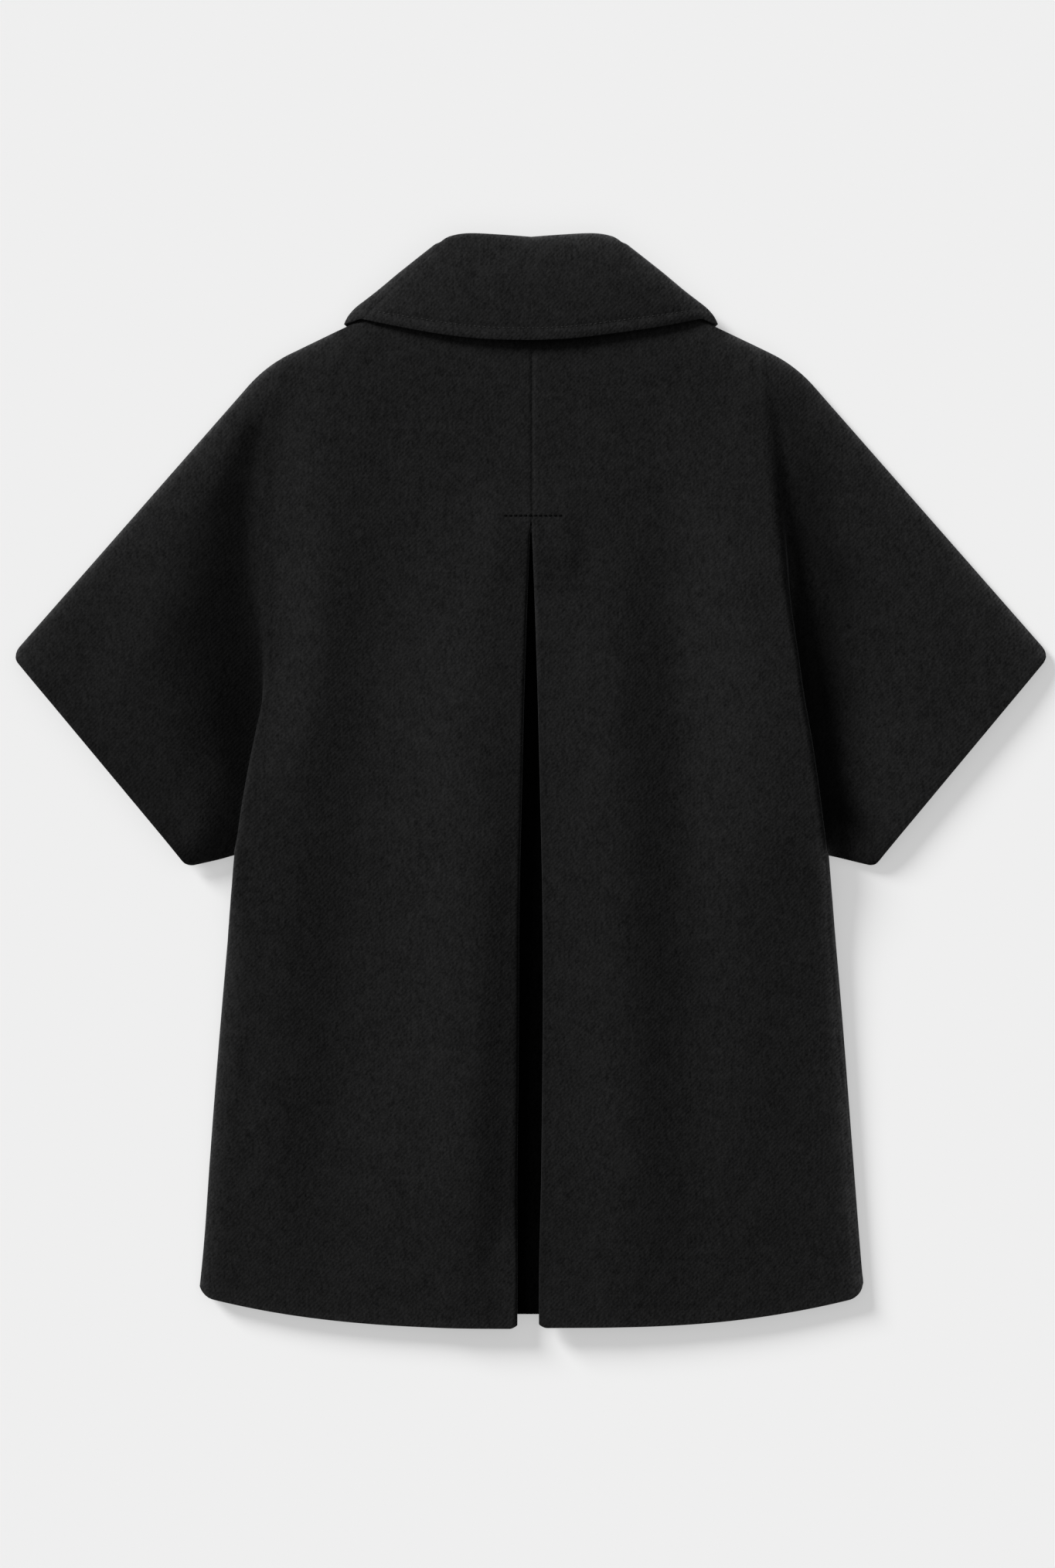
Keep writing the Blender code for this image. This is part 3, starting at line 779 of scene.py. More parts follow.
def new_material(name: str) -> Tuple[bpy.types.Material, Tree, Node]:
    """A new material, its node tree and its surface.

    Args:
        name: Name of the material.

    Returns:
        The three in that order.
    """
    material = bpy.data.materials.new(name)
    material.use_nodes = True
    tree = material.node_tree
    return material, tree, tree.nodes["Principled BSDF"]


def set_inputs(node: Node, values: Mapping[InputKey, InputValue]) -> None:
    """Sets the inputs of a node."""
    for key, value in values.items():
        node.inputs[key].default_value = value


def add_node(tree: Tree, kind: str, values: Mapping[InputKey, InputValue], links: Mapping[InputKey, Socket],
             **options: str) -> Node:
    """Adds a node to a material.

    Args:
        tree: Node tree of the material.
        kind: Kind of node, without the words that all kinds begin with.
        values: Values of its inputs.
        links: Sockets that feed its inputs.
        options: Its settings.

    Returns:
        The new node.
    """
    node = tree.nodes.new(f"ShaderNode{kind}")
    for option, choice in options.items():
        setattr(node, option, choice)
    set_inputs(node, values)
    for key, socket in links.items():
        tree.links.new(socket, node.inputs[key])
    return node


def blend(tree: Tree, share: Socket, dark: Colour, light: Colour) -> Socket:
    """Colour between a dark and a light one."""
    return add_node(tree, "Mix", {6: dark, 7: light}, {0: share}, data_type="RGBA").outputs[2]


def emboss(tree: Tree, surface: Node, height: Socket, strength: float, depth: float) -> None:
    """Gives a surface its relief.

    Args:
        tree: Node tree of the material.
        surface: Surface that takes the relief.
        height: Height of the relief, from 0 to 1.
        strength: How strongly it shows.
        depth: Its depth in metres.
    """
    bump = add_node(tree, "Bump", {"Strength": strength, "Distance": depth}, {"Height": height})
    tree.links.new(bump.outputs["Normal"], surface.inputs["Normal"])


@dataclass(frozen=True)
class Wool:
    """Black felted wool twill with a short pile; lengths in metres."""

    dark: float = 0.0038
    light: float = 0.0134
    blue: float = 1.01
    # Share of the colour that is kept where the cloth is painted dark as the shade deep in the pleat.
    shaded: float = 0.10
    contrast: float = 0.115
    sheen: float = 0.15
    sheen_roughness: float = 0.30
    sheen_tint: Colour = (0.85, 0.86, 0.88, 1.0)
    roughness: float = 0.92
    specular: float = 0.04
    twill_pitch: float = 0.0026
    twill_turn: float = 45.0
    twill_blur: Tuple[float, float, float] = (1.6, 2.0, 1.3)
    grain: float = 0.0018
    fleck: float = 0.0062
    fleck_stretch: float = 3.0
    fleck_turns: Point = (0.8, -0.7)
    cloud: float = 0.0090
    mottle: float = 0.026
    octaves: float = 2.0
    octave_share: float = 0.6
    height_weights: Sequence[float] = (0.45, 0.40, 0.40, 0.15)
    shade_weights: Sequence[float] = (0.36, 0.20, 0.20, 0.04, 0.11, 0.09)
    relief: float = 0.00055
    relief_strength: float = 0.75
    # Point attribute that holds the painted highlights and shades of a piece.
    nap: str = "nap"

    def material(self, name: str, weave: Weave = Weave.NAPPED) -> bpy.types.Material:
        """Makes the material for one piece.

        Args:
            name: Name of the material.
            weave: Its napped face, or painted dark as the shade deep in the pleat.

        Returns:
            The new material.
        """
        material, tree, surface = new_material(name)
        place = tree.nodes.new("ShaderNodeTexCoord").outputs["Object"]
        twill = self.twill(tree, place)
        sizes = (self.grain, self.cloud, self.mottle)
        grain, cloud, mottle = (self.noise(tree, place, size) for size in sizes)
        fleck = (self.fleck, self.fleck_stretch)
        across, along = (self.noise(tree, place, *fleck, turn) for turn in self.fleck_turns)
        height = self.weighted(tree, (grain, across, along, twill), self.height_weights)
        shade = self.weighted(tree, (grain, across, along, twill, cloud, mottle), self.shade_weights)
        span = {"From Min": 0.5 - self.contrast, "From Max": 0.5 + self.contrast}
        ramp = add_node(tree, "MapRange", span, {"Value": shade})
        napped = weave is Weave.NAPPED
        # The strip in the pleat is painted dark, with no gloss or sheen, as shade.
        depth = 1.0 if napped else self.shaded
        dark, light = (tone(value * depth, self.blue) for value in (self.dark, self.light))
        colour = blend(tree, ramp.outputs["Result"], dark, light)
        tree.links.new(self.with_painted_light(tree, colour), surface.inputs["Base Color"])
        emboss(tree, surface, height, self.relief_strength, self.relief)
        set_inputs(surface, {"Roughness": self.roughness,
                             "Specular IOR Level": self.specular if napped else 0.0,
                             "Sheen Weight": self.sheen if napped else 0.0,
                             "Sheen Roughness": self.sheen_roughness, "Sheen Tint": self.sheen_tint})
        return material

    def with_painted_light(self, tree: Tree, colour: Socket) -> Socket:
        """The colour, lighter or darker by the painted light and shade at each point.

        Args:
            tree: Node tree of the material.
            colour: Colour of the cloth before its painted light and shade.

        Returns:
            The brushed colour.
        """
        gain = add_node(tree, "Attribute", {}, {}, attribute_name=self.nap).outputs["Fac"]
        share = add_node(tree, "Math", {1: 1.0}, {0: gain}, operation="ADD").outputs[0]
        return add_node(tree, "VectorMath", {}, {0: colour, "Scale": share}, operation="SCALE").outputs[0]

    def brush(self, piece: bpy.types.Object, gain: Array) -> None:
        """Writes the painted highlight or shade at each point of a piece, as a share of its colour."""
        piece.data.attributes.new(self.nap, "FLOAT", "POINT").data.foreach_set("value", gain)

    def paint_shade(self, piece: bpy.types.Object, share: Array) -> None:
        """Paints shade on a piece that has painted light, darker by a share at each point.

        Args:
            piece: Piece that already has painted light.
            share: Share that is taken from the colour.
        """
        values = piece.data.attributes[self.nap].data
        gain = np.empty(len(values))
        values.foreach_get("value", gain)
        values.foreach_set("value", (1 + gain) * (1 - share) - 1)

    @staticmethod
    def weighted(tree: Tree, sockets: Sequence[Socket], weights: Sequence[float]) -> Socket:
        """Sum of sockets, each times its weight.

        Args:
            tree: Node tree of the material.
            sockets: Sockets that are added up.
            weights: Weight of each.

        Returns:
            The sum.
        """
        total = None
        for socket, weight in zip(sockets, weights):
            part = add_node(tree, "Math", {1: weight}, {0: socket}, operation="MULTIPLY").outputs[0]
            if total is not None:
                part = add_node(tree, "Math", {}, {0: total, 1: part}, operation="ADD").outputs[0]
            total = part
        return total

    def twill(self, tree: Tree, place: Socket) -> Socket:
        """Slanting ribs of the weave, a little blurred by the felting.

        Args:
            tree: Node tree of the material.
            place: Coordinates.

        Returns:
            Height of the ribs, from 0 to 1.
        """
        turn = (0.0, 0.0, math.radians(self.twill_turn))
        slanted = add_node(tree, "Mapping", {"Rotation": turn}, {"Vector": place}).outputs["Vector"]
        blur, detail, scale = self.twill_blur
        ribs = {"Scale": WAVE_BAND / self.twill_pitch, "Distortion": blur, "Detail": detail,
                "Detail Scale": scale}
        return add_node(tree, "TexWave", ribs, {"Vector": slanted}).outputs["Fac"]

    def noise(self, tree: Tree, place: Socket, size: float, stretch: float = 1.0,
              turn: float = 0.0) -> Socket:
        """Noise over the cloth.

        Args:
            tree: Node tree of the material.
            place: Coordinates.
            size: Length of its waves.
            stretch: How much closer its waves are in one direction.
            turn: Angle of that direction in the plane of the cloth, in radians.

        Returns:
            The value of the noise.
        """
        way = {"Rotation": (0.0, 0.0, turn), "Scale": (stretch, 1.0, 1.0)}
        turned = add_node(tree, "Mapping", way, {"Vector": place}).outputs["Vector"]
        waves = {"Scale": 1 / size, "Detail": self.octaves, "Roughness": self.octave_share}
        return add_node(tree, "TexNoise", waves, {"Vector": turned}).outputs["Fac"]


WOOL = Wool()


@dataclass(frozen=True)
class Thread:
    """Black sewing thread; lengths in metres."""

    colour: float = 0.0142
    dark_share: float = 0.6
    roughness: float = 0.70
    gloss: float = 0.15
    twist: float = 0.0009
    relief: float = 0.0001
    relief_strength: float = 0.6

    def material(self, name: str) -> bpy.types.Material:
        """Makes the material, with the twist of its strands as relief.

        Args:
            name: Name of the material.

        Returns:
            The new material.
        """
        material, tree, surface = new_material(name)
        place = tree.nodes.new("ShaderNodeTexCoord").outputs["Object"]
        bands = {"Scale": WAVE_BAND / self.twist}
        wave = add_node(tree, "TexWave", bands, {"Vector": place}, bands_direction="DIAGONAL").outputs["Fac"]
        emboss(tree, surface, wave, self.relief_strength, self.relief)
        colour = blend(tree, wave, tone(self.colour * self.dark_share), tone(self.colour))
        tree.links.new(colour, surface.inputs["Base Color"])
        set_inputs(surface, {"Roughness": self.roughness, "Specular IOR Level": self.gloss})
        return material


def report(piece: bpy.types.Object) -> None:
    """Logs a piece that is in its place."""
    LOG.info("%s: %d faces", piece.name, len(piece.data.polygons))


@dataclass
class Piece:
    """A cut piece that stands for one node of the frame; flat size in metres, area in square metres."""

    node: str
    flat: Point
    area: float
    rests_on: Sequence[str] = ()
    extras: List[bpy.types.Object] = field(default_factory=list)

    def declare(self, piece: bpy.types.Object) -> None:
        """Attaches the piece to the body, hides the frame's part that it stands for and logs it.

        Args:
            piece: Object of the piece.
        """
        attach(piece, BODY)
        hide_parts(self.node)
        report(piece)


class Panel(ABC):
    """A panel of cloth that is built in its place and then finished."""

    @abstractmethod
    def build(self) -> bpy.types.Object:
        """Makes the panel as a sheet with its thickness."""

    @abstractmethod
    def dress(self, piece: bpy.types.Object) -> None:
        """Gives the panel its finish."""

    def make(self) -> bpy.types.Object:
        """Builds the panel and gives it its finish.

        Returns:
            The finished panel.
        """
        piece = self.build()
        self.dress(piece)
        return piece


@dataclass
class BackHalf(Panel):
    """One half of the back with its grown-on sleeve and the pleat's return; lengths in metres.

    A pair named levels, ends, blend or join holds the two places between which a value changes. Lip_shade is
    how dark the painted shade on the lip of the pleat lies and how far it reaches, droop_reach how far from
    the lip the back droops, further up and further down. Return_short is how much shorter the return is at the
    hem, and up to which share of the way to the underarm.
    """

    side: Side
    fold: SideFold
    folds: Sequence[SoftFold]
    side_edge: SideEdge
    # Painted highlight along the shoulder and the overarm, then along the hem.
    nap: Nap
    hem_painted_highlight: Nap = Nap(sharp=(0.25, 0.004))
    hem_points: int = 60
    # Share taken from the colour towards the hem.
    hem_shade: float = 0.0
    hem_shade_levels: Point = (0.06, -0.12)
    hem_drop: Point = (0.0, 0.0)
    hem_drop_blend: Point = (0.02, 0.16)
    hem_corner: float = PLAN.corner
    hem_level: float = 0.0106
    hem_ease: float = 0.140
    droop: float = 0.0
    droop_reach: Point = (0.014, 0.034)
    droop_levels: Point = (0.06, -0.22)
    # Painted highlight along the cuff.
    cuff_painted_highlight: float = 0.0
    cuff_reach: float = 0.0025
    cuff_blend: Point = (0.5, 1.0)
    # Painted shade over the sleeve out from the fold, by share of the way up.
    sleeve_shade: Table = ((0.0, 0.0), (1.0, 0.0))
    sleeve_shade_blend: Point = (0.02, 0.06)
    sleeve_widths: Point = (0.390, 0.215)
    fold_ends: Point = (-0.02, 0.03)
    fold_points: int = 200
    # Painted shade along the lip of the pleat.
    lip_shade: Point = (0.50, 0.0035)
    lip_ends: Tuple[Point, Point] = ((0.16, 0.02), (-0.50, -0.60))
    seam_x: float = 0.0011
    seam_dip: float = 0.0009
    seam_width: float = 0.0014
    level: float = 0.0160
    least_loft: float = 0.0012
    settle: float = 0.0016
    return_ease: float = 0.0300
    return_short: Point = (0.004, 0.2)
    bar_ease: float = 0.0600
    opening_ease: float = 0.0120
    shoulder_start: float = 0.0140
    over_roll: float = 0.0550
    under_roll: float = 0.0300
    under_ease: float = 0.0010
    underarm_x: float = 0.2010
    underarm_join: Point = (0.78, 1.0)
    neck_roll: float = 0.0500
    neck_reach: float = 0.4
    lower_rows: int = 92
    lower_spacing: float = 0.4
    upper_rows: int = 132
    upper_spacing: float = 0.85
    body_columns: int = 58
    sleeve_columns: int = 52
    column_spacing: float = 0.6
    return_columns: int = 8
    arc_steps: int = 8

    def build(self) -> bpy.types.Object:
        """Makes the half as a sheet with its thickness.

        Returns:
            The new object.
        """
        grid = np.concatenate([self.lower(), self.upper()])
        x, y = grid[..., 0], grid[..., 1]
        grid[..., 0] = self.side.value * x + PLEAT.lean(x, y)
        piece = mesh_piece(f"wool_back_{self.side.label}", grid, self.side is Side.LEFT)
        thicken(piece, CLOTH.layer, CLOTH.rim)
        return piece

    def dress(self, piece: bpy.types.Object) -> None:
        """Gives the half its finish: painted highlights along rolled edges and painted shade beside the fold,
        on the sleeve and on the pleat's lip, with the colour darker towards the hem.

        Args:
            piece: Object of the half.
        """
        x, y, _ = places(piece)
        x = x * self.side.value
        v = (y - PLAN.underarm[1]) / (self.outline().fold_top[1] - PLAN.underarm[1])
        away = self.from_fold(x, y)
        over = smooth(*(PLAN.underarm[1] + end for end in self.fold_ends), y)
        # Painted highlights along the rims and along the body's edge over the sleeve.
        lighter = self.rim_painted_highlight(x, y) + self.fold.lit(away, v) * over
        # Painted shade in the trough beside the fold.
        fold_shade = self.fold.shaded(away, v) * over
        # The colour darkens towards the hem.
        hem_shade = self.hem_shade * smooth(*self.hem_shade_levels, y)
        # Painted shade over the sleeve, out from the fold.
        sleeve_shade = np.interp(v, *zip(*self.sleeve_shade)) * smooth(*self.sleeve_shade_blend, away)
        # All the painted shades together, with that along the lip of the pleat.
        darker = (1 - fold_shade) * (1 - hem_shade) * (1 - sleeve_shade) * (1 - self.lip_painted_shade(x, y))
        WOOL.brush(piece, (1 + lighter) * darker - 1)
        piece.data.materials.append(WOOL.material(piece.name))

    def rim_painted_highlight(self, x: Array, y: Array) -> Array:
        """Painted highlight along the rims of the half.

        Args:
            x: Distance out from the centre line.
            y: Level.

        Returns:
            Share that is added to the colour.
        """
        outline = self.outline()
        hem_x = np.linspace(PLEAT.half, PLAN.side_hem[0], self.hem_points)
        shoulder = outline.body_top.split(PLAN.collar_tuck[0] + self.shoulder_start)[1]
        rims = ((shoulder.points, self.nap), (outline.overarm.points, self.nap),
                (outline.cuff.points, Nap(sharp=(self.cuff_painted_highlight, self.cuff_reach))),
                (np.array([PLAN.underarm, PLAN.side_hem]), self.side_edge.nap),
                (np.stack([hem_x, self.hem_y(hem_x)], -1), self.hem_painted_highlight))
        return np.max([nap.gain(distance_to(rim, x, y)) for rim, nap in rims], 0)

    def lip_painted_shade(self, x: Array, y: Array) -> Array:
        """Painted shade along the lip of the pleat.

        Args:
            x: Distance out from the centre line.
            y: Level.

        Returns:
            Share that is taken from the colour.
        """
        depth, reach = self.lip_shade
        begin, end = self.lip_ends
        inside = np.maximum(x - self.side.value * PLEAT.lean(x, y) - PLEAT.opening(y), 0.0)
        along = smooth(*begin, y) * (1 - smooth(*end, y))
        return depth * np.exp(-(inside / reach) ** 2) * along

    @staticmethod
    def edge(distance: Array, roll: float) -> Array:
        """Share of the loft at a distance from an edge that is rolled over a width."""
        return np.sqrt(1 - (1 - np.clip(distance / roll, 0.0, 1.0)) ** 2)

    def body_z(self, x: Array, y: Array) -> Array:
        """Middle of the back away from its edges: level, with its soft folds, and clear of the fronts.

        Args:
            x: Distance out from the centre line.
            y: Level.

        Returns:
            The height at each point.
        """
        level = mix(self.hem_level, self.level, smooth(0.0, self.hem_ease, y - PLAN.hem_y))
        edge = PLEAT.opening(y) + CLOTH.layer / 2
        lower = smooth(*self.droop_levels, y)
        near = 1 - smooth(0.0, 1.0, (x - edge) / mix(*self.droop_reach, lower))
        level = level - self.droop * near * lower
        level = level + sum(fold.at(x, y) for fold in self.folds)
        folded = 1 - smooth(0.0, self.return_ease, x - edge - PLEAT.turned(y))
        folded = folded * smooth(PLEAT.top_y + self.bar_ease, PLEAT.top_y, y)
        least = mix(GROUND.base(x, y) + self.least_loft, GROUND.turned(x, y) + CLOTH.pitch, folded)
        return (level + least + np.hypot(level - least, self.settle)) / 2

    def outline(self) -> HalfOutline:
        """Plan of this half."""
        return HalfOutline(self.fold, PLAN.neckline_back(), self.underarm_x)

    def from_fold(self, x: Array, y: Array) -> Array:
        """Distance out from the foot of the side fold.

        Args:
            x: Distance out from the centre line.
            y: Level.

        Returns:
            The distance, below 0 on the body.
        """
        outline = self.outline()
        steps = np.linspace(0.0, 1.0, self.fold_points)
        line = outline.fold_start(steps)
        bulge = self.fold.reach(steps) * np.sin(np.minimum(self.fold.angle(steps), np.pi / 2))
        line[:, 0] = np.maximum(line[:, 0] + bulge, outline.sleeve_start(steps)[:, 0])
        return x - np.interp(y, line[:, 1], line[:, 0])

    def top_z(self, x: Array, y: Array) -> Array:
        """Middle of the back under the collar, where it rolls down to the shoulder.

        Args:
            x: Distance out from the centre line.
            y: Level.

        Returns:
            The height at each point.
        """
        top = self.outline().body_top.points
        share = self.edge(np.interp(x, top[:, 0], top[:, 1]) - y, self.neck_roll)
        return mix(GROUND.base(x, y), self.body_z(x, y), share)

    def sleeve_z(self, plan: Array, s: Array, v: Array) -> Array:
        """Middle of the sleeve's back at shares s to the cuff and v to the overarm.

        Args:
            plan: Points in plan.
            s: Shares from the fold to the cuff.
            v: Shares from the underarm to the overarm.

        Returns:
            The height at each point.
        """
        away = self.from_fold(plan[..., 0], plan[..., 1])
        loft = self.fold.floor(v)[:, None] + self.fold.swell(away, v[:, None])
        loft = mix(loft, self.fold.cuff, smooth(*self.cuff_blend, s)[None])
        width = mix(*self.sleeve_widths, s)[None]
        rolled = self.edge((1 - v)[:, None] * width, self.over_roll)
        rolled = rolled * self.edge(v[:, None] * width + self.under_ease, self.under_roll)
        return GROUND.base(plan[..., 0], plan[..., 1]) + loft * rolled

    def fold_z(self, v: Array) -> Array:
        """Middle of the body where it begins to turn over the sleeve."""
        turn = self.outline().sleeve_start(v)
        return self.sleeve_z(turn[:, None], np.zeros(1), v)[:, 0] + self.fold.drop(v)

    def returns(self, start: Array, y: Array, top_z: Array, short: Array) -> Array:
        """Cloth turned under at the pleat, up to the first point of the body.

        Args:
            start: x of the body's first point in each row.
            y: Level of each row.
            top_z: Height of that first point.
            short: How far the turned cloth is shorter at the hem.

        Returns:
            The points of each row, from the return's free edge to the fold.
        """
        low = GROUND.turned(start, y)
        points = []
        for share in np.linspace(1.0, 0.0, self.return_columns + 1):
            x = start + PLEAT.turned(y) * share
            points.append(np.stack([x, y + short, GROUND.turned(x, y)], -1))
        for k in range(1, self.arc_steps):
            a = math.pi * k / self.arc_steps
            x = start - PLEAT.roll(y) * math.sin(a)
            z = mix(low, top_z, (1 - math.cos(a)) / 2)
            points.append(np.stack([x, y + short * (1 - k / self.arc_steps), z], -1))
        return np.stack(points, 1)

    def lower(self) -> Array:
        """Rows from the hem to the underarm.

        Returns:
            Rows of points from the return out, with none in the sleeve's columns.
        """
        w = spaced(self.lower_rows, self.lower_spacing)[:-1]
        u = spaced(self.body_columns, self.column_spacing)
        underarm = np.zeros(1)
        level = mix(PLAN.hem_y, PLAN.underarm[1], w)
        join = smooth(*self.underarm_join, w)
        reach = mix(self.side_edge.roll, self.fold.reach(underarm)[0], join)
        start = PLEAT.opening(level) + CLOTH.layer / 2 + PLEAT.roll(level)
        end = PLAN.side_x(level) + curve(self.side_edge.drift, w) - CLOTH.layer / 2 - reach
        x = mix(start[:, None], end[:, None], u[None])
        y = mix(self.hem_y(x), PLAN.underarm[1], w[:, None])
        side_z = mix(self.side_edge.level, self.fold_z(underarm)[0], curve(self.side_edge.rise, w))
        ends = [mix(a, b, join)[:, None] for a, b in zip(self.side_edge.blend, self.fold.blend)]
        z = mix(self.body_z(x, y), side_z[:, None], smooth(*ends, u[None]))
        body = np.stack([x, y, z], -1)
        roll = []
        turn = mix(math.pi / 2, self.fold.angle(underarm)[0], join)
        bottom = mix(CLOTH.layer + 2 * CLOTH.gap, z[:, -1] - 2 * self.fold.radius(underarm)[0], join)
        for k in range(1, self.arc_steps + 1):
            a = turn * k / self.arc_steps
            rx = end + reach * np.sin(a)
            rz = mix(z[:, -1], bottom, (1 - np.cos(a)) / (1 - np.cos(turn)))
            roll.append(np.stack([rx, mix(self.hem_y(rx), PLAN.underarm[1], w), rz], -1))
        shorter, up_to = self.return_short
        pleat = self.returns(start, y[:, 0], z[:, 0], shorter * (1 - smooth(0.0, up_to, w)))
        rest = np.full((len(w), self.arc_steps + 1 + self.sleeve_columns, 3), np.nan)
        return np.concatenate([pleat, body, np.stack(roll, 1), rest], 1)

    def hem_y(self, x: Array) -> Array:
        """Level of the back's hem."""
        level = PLAN.hem(x, PLAN.hem_y, PLEAT.half, PLEAT.corner, self.hem_corner)
        return level - mix(*self.hem_drop, smooth(*self.hem_drop_blend, x))

    def upper(self) -> Array:
        """Rows from the underarm to the neckline and the overarm.

        Returns:
            Rows of points from the return out to the cuff.
        """
        v = spaced(self.upper_rows, self.upper_spacing)
        u = spaced(self.body_columns, self.column_spacing)
        s = spaced(self.sleeve_columns, self.column_spacing)[1:]
        outline = self.outline()
        level = mix(PLAN.underarm[1], PLAN.neck_y, v)
        opened = smooth(PLEAT.top_y, PLEAT.top_y - self.opening_ease, level)
        start = PLEAT.opening(level) + (CLOTH.layer / 2 + PLEAT.roll(level)) * opened
        fold = outline.fold_start(v)
        turn = outline.sleeve_start(v)
        fold_z = self.fold_z(v)
        plan = outline.body(np.stack([start, level], -1), fold, u, v)
        x, y = plan[..., 0], plan[..., 1]
        rolled = self.edge((1 - v) * self.neck_reach, self.neck_roll)[:, None]
        z = mix(GROUND.base(x, y), self.body_z(x, y), rolled)
        z = mix(z, fold_z[:, None], smooth(*self.fold.blend, u)[None])
        seam_x = self.seam_x * self.side.value
        z = z - self.seam_dip * np.exp(-((x - seam_x) / self.seam_width) ** 2) * (1 - opened)[:, None]
        body = np.stack([x, y, z], -1)
        turned = self.turned(fold, z[:, -1], outline.across(v), v)
        sleeve_plan = outline.sleeve(turn, s, v, outline.sleeve_bottom, outline.sleeve_top)
        sleeve = np.concatenate([sleeve_plan, self.sleeve_z(sleeve_plan, s, v)[..., None]], -1)
        pleat = self.returns(start, level, z[:, 0], np.zeros(len(v)))
        pleat[level > PLEAT.top_y] = np.nan
        return np.concatenate([pleat, body, turned, sleeve], 1)

    def turned(self, start: Array, z: Array, across: Array, v: Array) -> Array:
        """Points of the body's turn over the sleeve, after its first point.

        Args:
            start: Plan of the first point in each row.
            z: Its height.
            across: Direction out over the sleeve.
            v: Share of the way up the fold.

        Returns:
            The points of each row.
        """
        angle, radius, depth = self.fold.angle(v), self.fold.radius(v), self.fold.depth(v)
        reach = self.fold.reach(v)
        steps = np.arange(1, self.arc_steps + 1) / self.arc_steps
        a = angle[:, None] * steps[None]
        out = reach[:, None] * np.sin(a)
        fall = radius[:, None] * (1 - np.cos(a))
        flat_out = out[:, -1:] + (depth * np.cos(angle))[:, None]
        flat_fall = fall[:, -1:] + (depth * np.sin(angle))[:, None]
        b = angle[:, None] * (1 - steps[None])
        last_out = flat_out + reach[:, None] * (np.sin(angle)[:, None] - np.sin(b))
        last_fall = flat_fall + radius[:, None] * (np.cos(b) - np.cos(angle)[:, None])
        out = np.concatenate([out, flat_out, last_out], 1)
        fall = np.concatenate([fall, flat_fall, last_fall], 1)
        plan = start[:, None] + across[:, None] * out[..., None]
        return np.concatenate([plan, (z[:, None] - fall)[..., None]], -1)


@dataclass
class FrontHalf(Panel):
    """One front with its grown-on sleeve, flat under the back; lengths in metres."""

    side: Side
    fold: SideFold
    lower_rows: int = 46
    lower_spacing: float = 0.3
    upper_rows: int = 70
    upper_spacing: float = 0.6
    body_columns: int = 44
    sleeve_columns: int = 30
    column_spacing: float = 0.5

    def build(self) -> bpy.types.Object:
        """Makes the front as a sheet with its thickness.

        Returns:
            The new object.
        """
        grid = np.concatenate([self.lower(), self.upper()])
        x, y = grid[..., 0].copy(), grid[..., 1]
        grid[..., 2] = GROUND.front(self.side, x, y)
        grid[..., 0] = self.side.value * x + PLEAT.lean(x, y)
        piece = mesh_piece(f"wool_front_{self.side.label}", grid, self.side is Side.LEFT)
        thicken(piece, CLOTH.layer, CLOTH.rim)
        return piece

    def dress(self, piece: bpy.types.Object) -> None:
        """Gives the front its finish."""
        piece.data.materials.append(WOOL.material(piece.name))

    def lower(self) -> Array:
        """Rows from the hem to the underarm, in plan.

        Returns:
            Rows of points from the lap out, with none in the sleeve's columns.
        """
        w = spaced(self.lower_rows, self.lower_spacing)[:-1]
        u = spaced(self.body_columns, self.column_spacing)
        level = mix(PLAN.hem_y, PLAN.underarm[1], w)
        x = mix(-PLAN.lap, (PLAN.side_x(level) - PLAN.front_inset)[:, None], u[None])
        hem = PLAN.hem(x, PLAN.front_hem_y, NO_PLEAT, PLAN.corner, 2 * PLAN.corner)
        y = mix(hem, PLAN.underarm[1], w[:, None])
        body = np.stack([x, y, np.zeros_like(x)], -1)
        rest = np.full((len(w), self.sleeve_columns, 3), np.nan)
        return np.concatenate([body, rest], 1)

    def upper(self) -> Array:
        """Rows from the underarm to the neckline and the overarm, in plan.

        Returns:
            Rows of points from the lap out to the cuff.
        """
        v = spaced(self.upper_rows, self.upper_spacing)
        u = spaced(self.body_columns, self.column_spacing)
        s = spaced(self.sleeve_columns, self.column_spacing)[1:]
        outline = HalfOutline(self.fold, PLAN.neckline_front(), PLAN.underarm[0])
        inner = np.stack([np.full(len(v), -PLAN.lap), mix(PLAN.underarm[1], PLAN.front_neck[1], v)], -1)
        outer = outline.fold_line(v)
        outer[:, 0] -= PLAN.front_inset * (1 - v)
        body = outline.body(inner, outer, u, v)
        bottom = Path([PLAN.underarm, *outline.underarm.points[1:]])
        sleeve = outline.sleeve(outer, s, v, bottom, outline.overarm)
        inset = np.array(PLAN.cuff_normal) * PLAN.front_inset
        sleeve = sleeve - inset * (s * s)[None, :, None]
        sleeve[..., 1] += PLAN.front_inset * ((1 - v) ** 4)[:, None]
        plan = np.concatenate([body, sleeve], 1)
        return np.concatenate([plan, np.zeros(plan.shape[:2] + (1,))], -1)


@dataclass
class PleatUnderlay(Panel):
    """Strip of cloth behind the pleat."""

    rows: int = 120
    columns: int = 24

    def build(self) -> bpy.types.Object:
        """Makes the strip as a sheet with its thickness.

        Returns:
            The new object.
        """
        y = mix(*PLEAT.underlay_y, np.linspace(0.0, 1.0, self.rows + 1))
        width = PLEAT.turned(y) + PLEAT.opening(y)
        x = width[:, None] * np.linspace(-1.0, 1.0, self.columns + 1)[None]
        y = np.broadcast_to(y[:, None], x.shape)
        grid = np.stack([x + PLEAT.lean(x, y), y, GROUND.base(x, y)], -1)
        piece = mesh_piece("wool_pleat_underlay", grid)
        thicken(piece, CLOTH.layer, CLOTH.rim)
        return piece

    def dress(self, piece: bpy.types.Object) -> None:
        """Gives the strip its finish: painted dark, with no sheen or gloss, as the shade deep in the pleat."""
        piece.data.materials.append(WOOL.material(piece.name, Weave.SHADED))


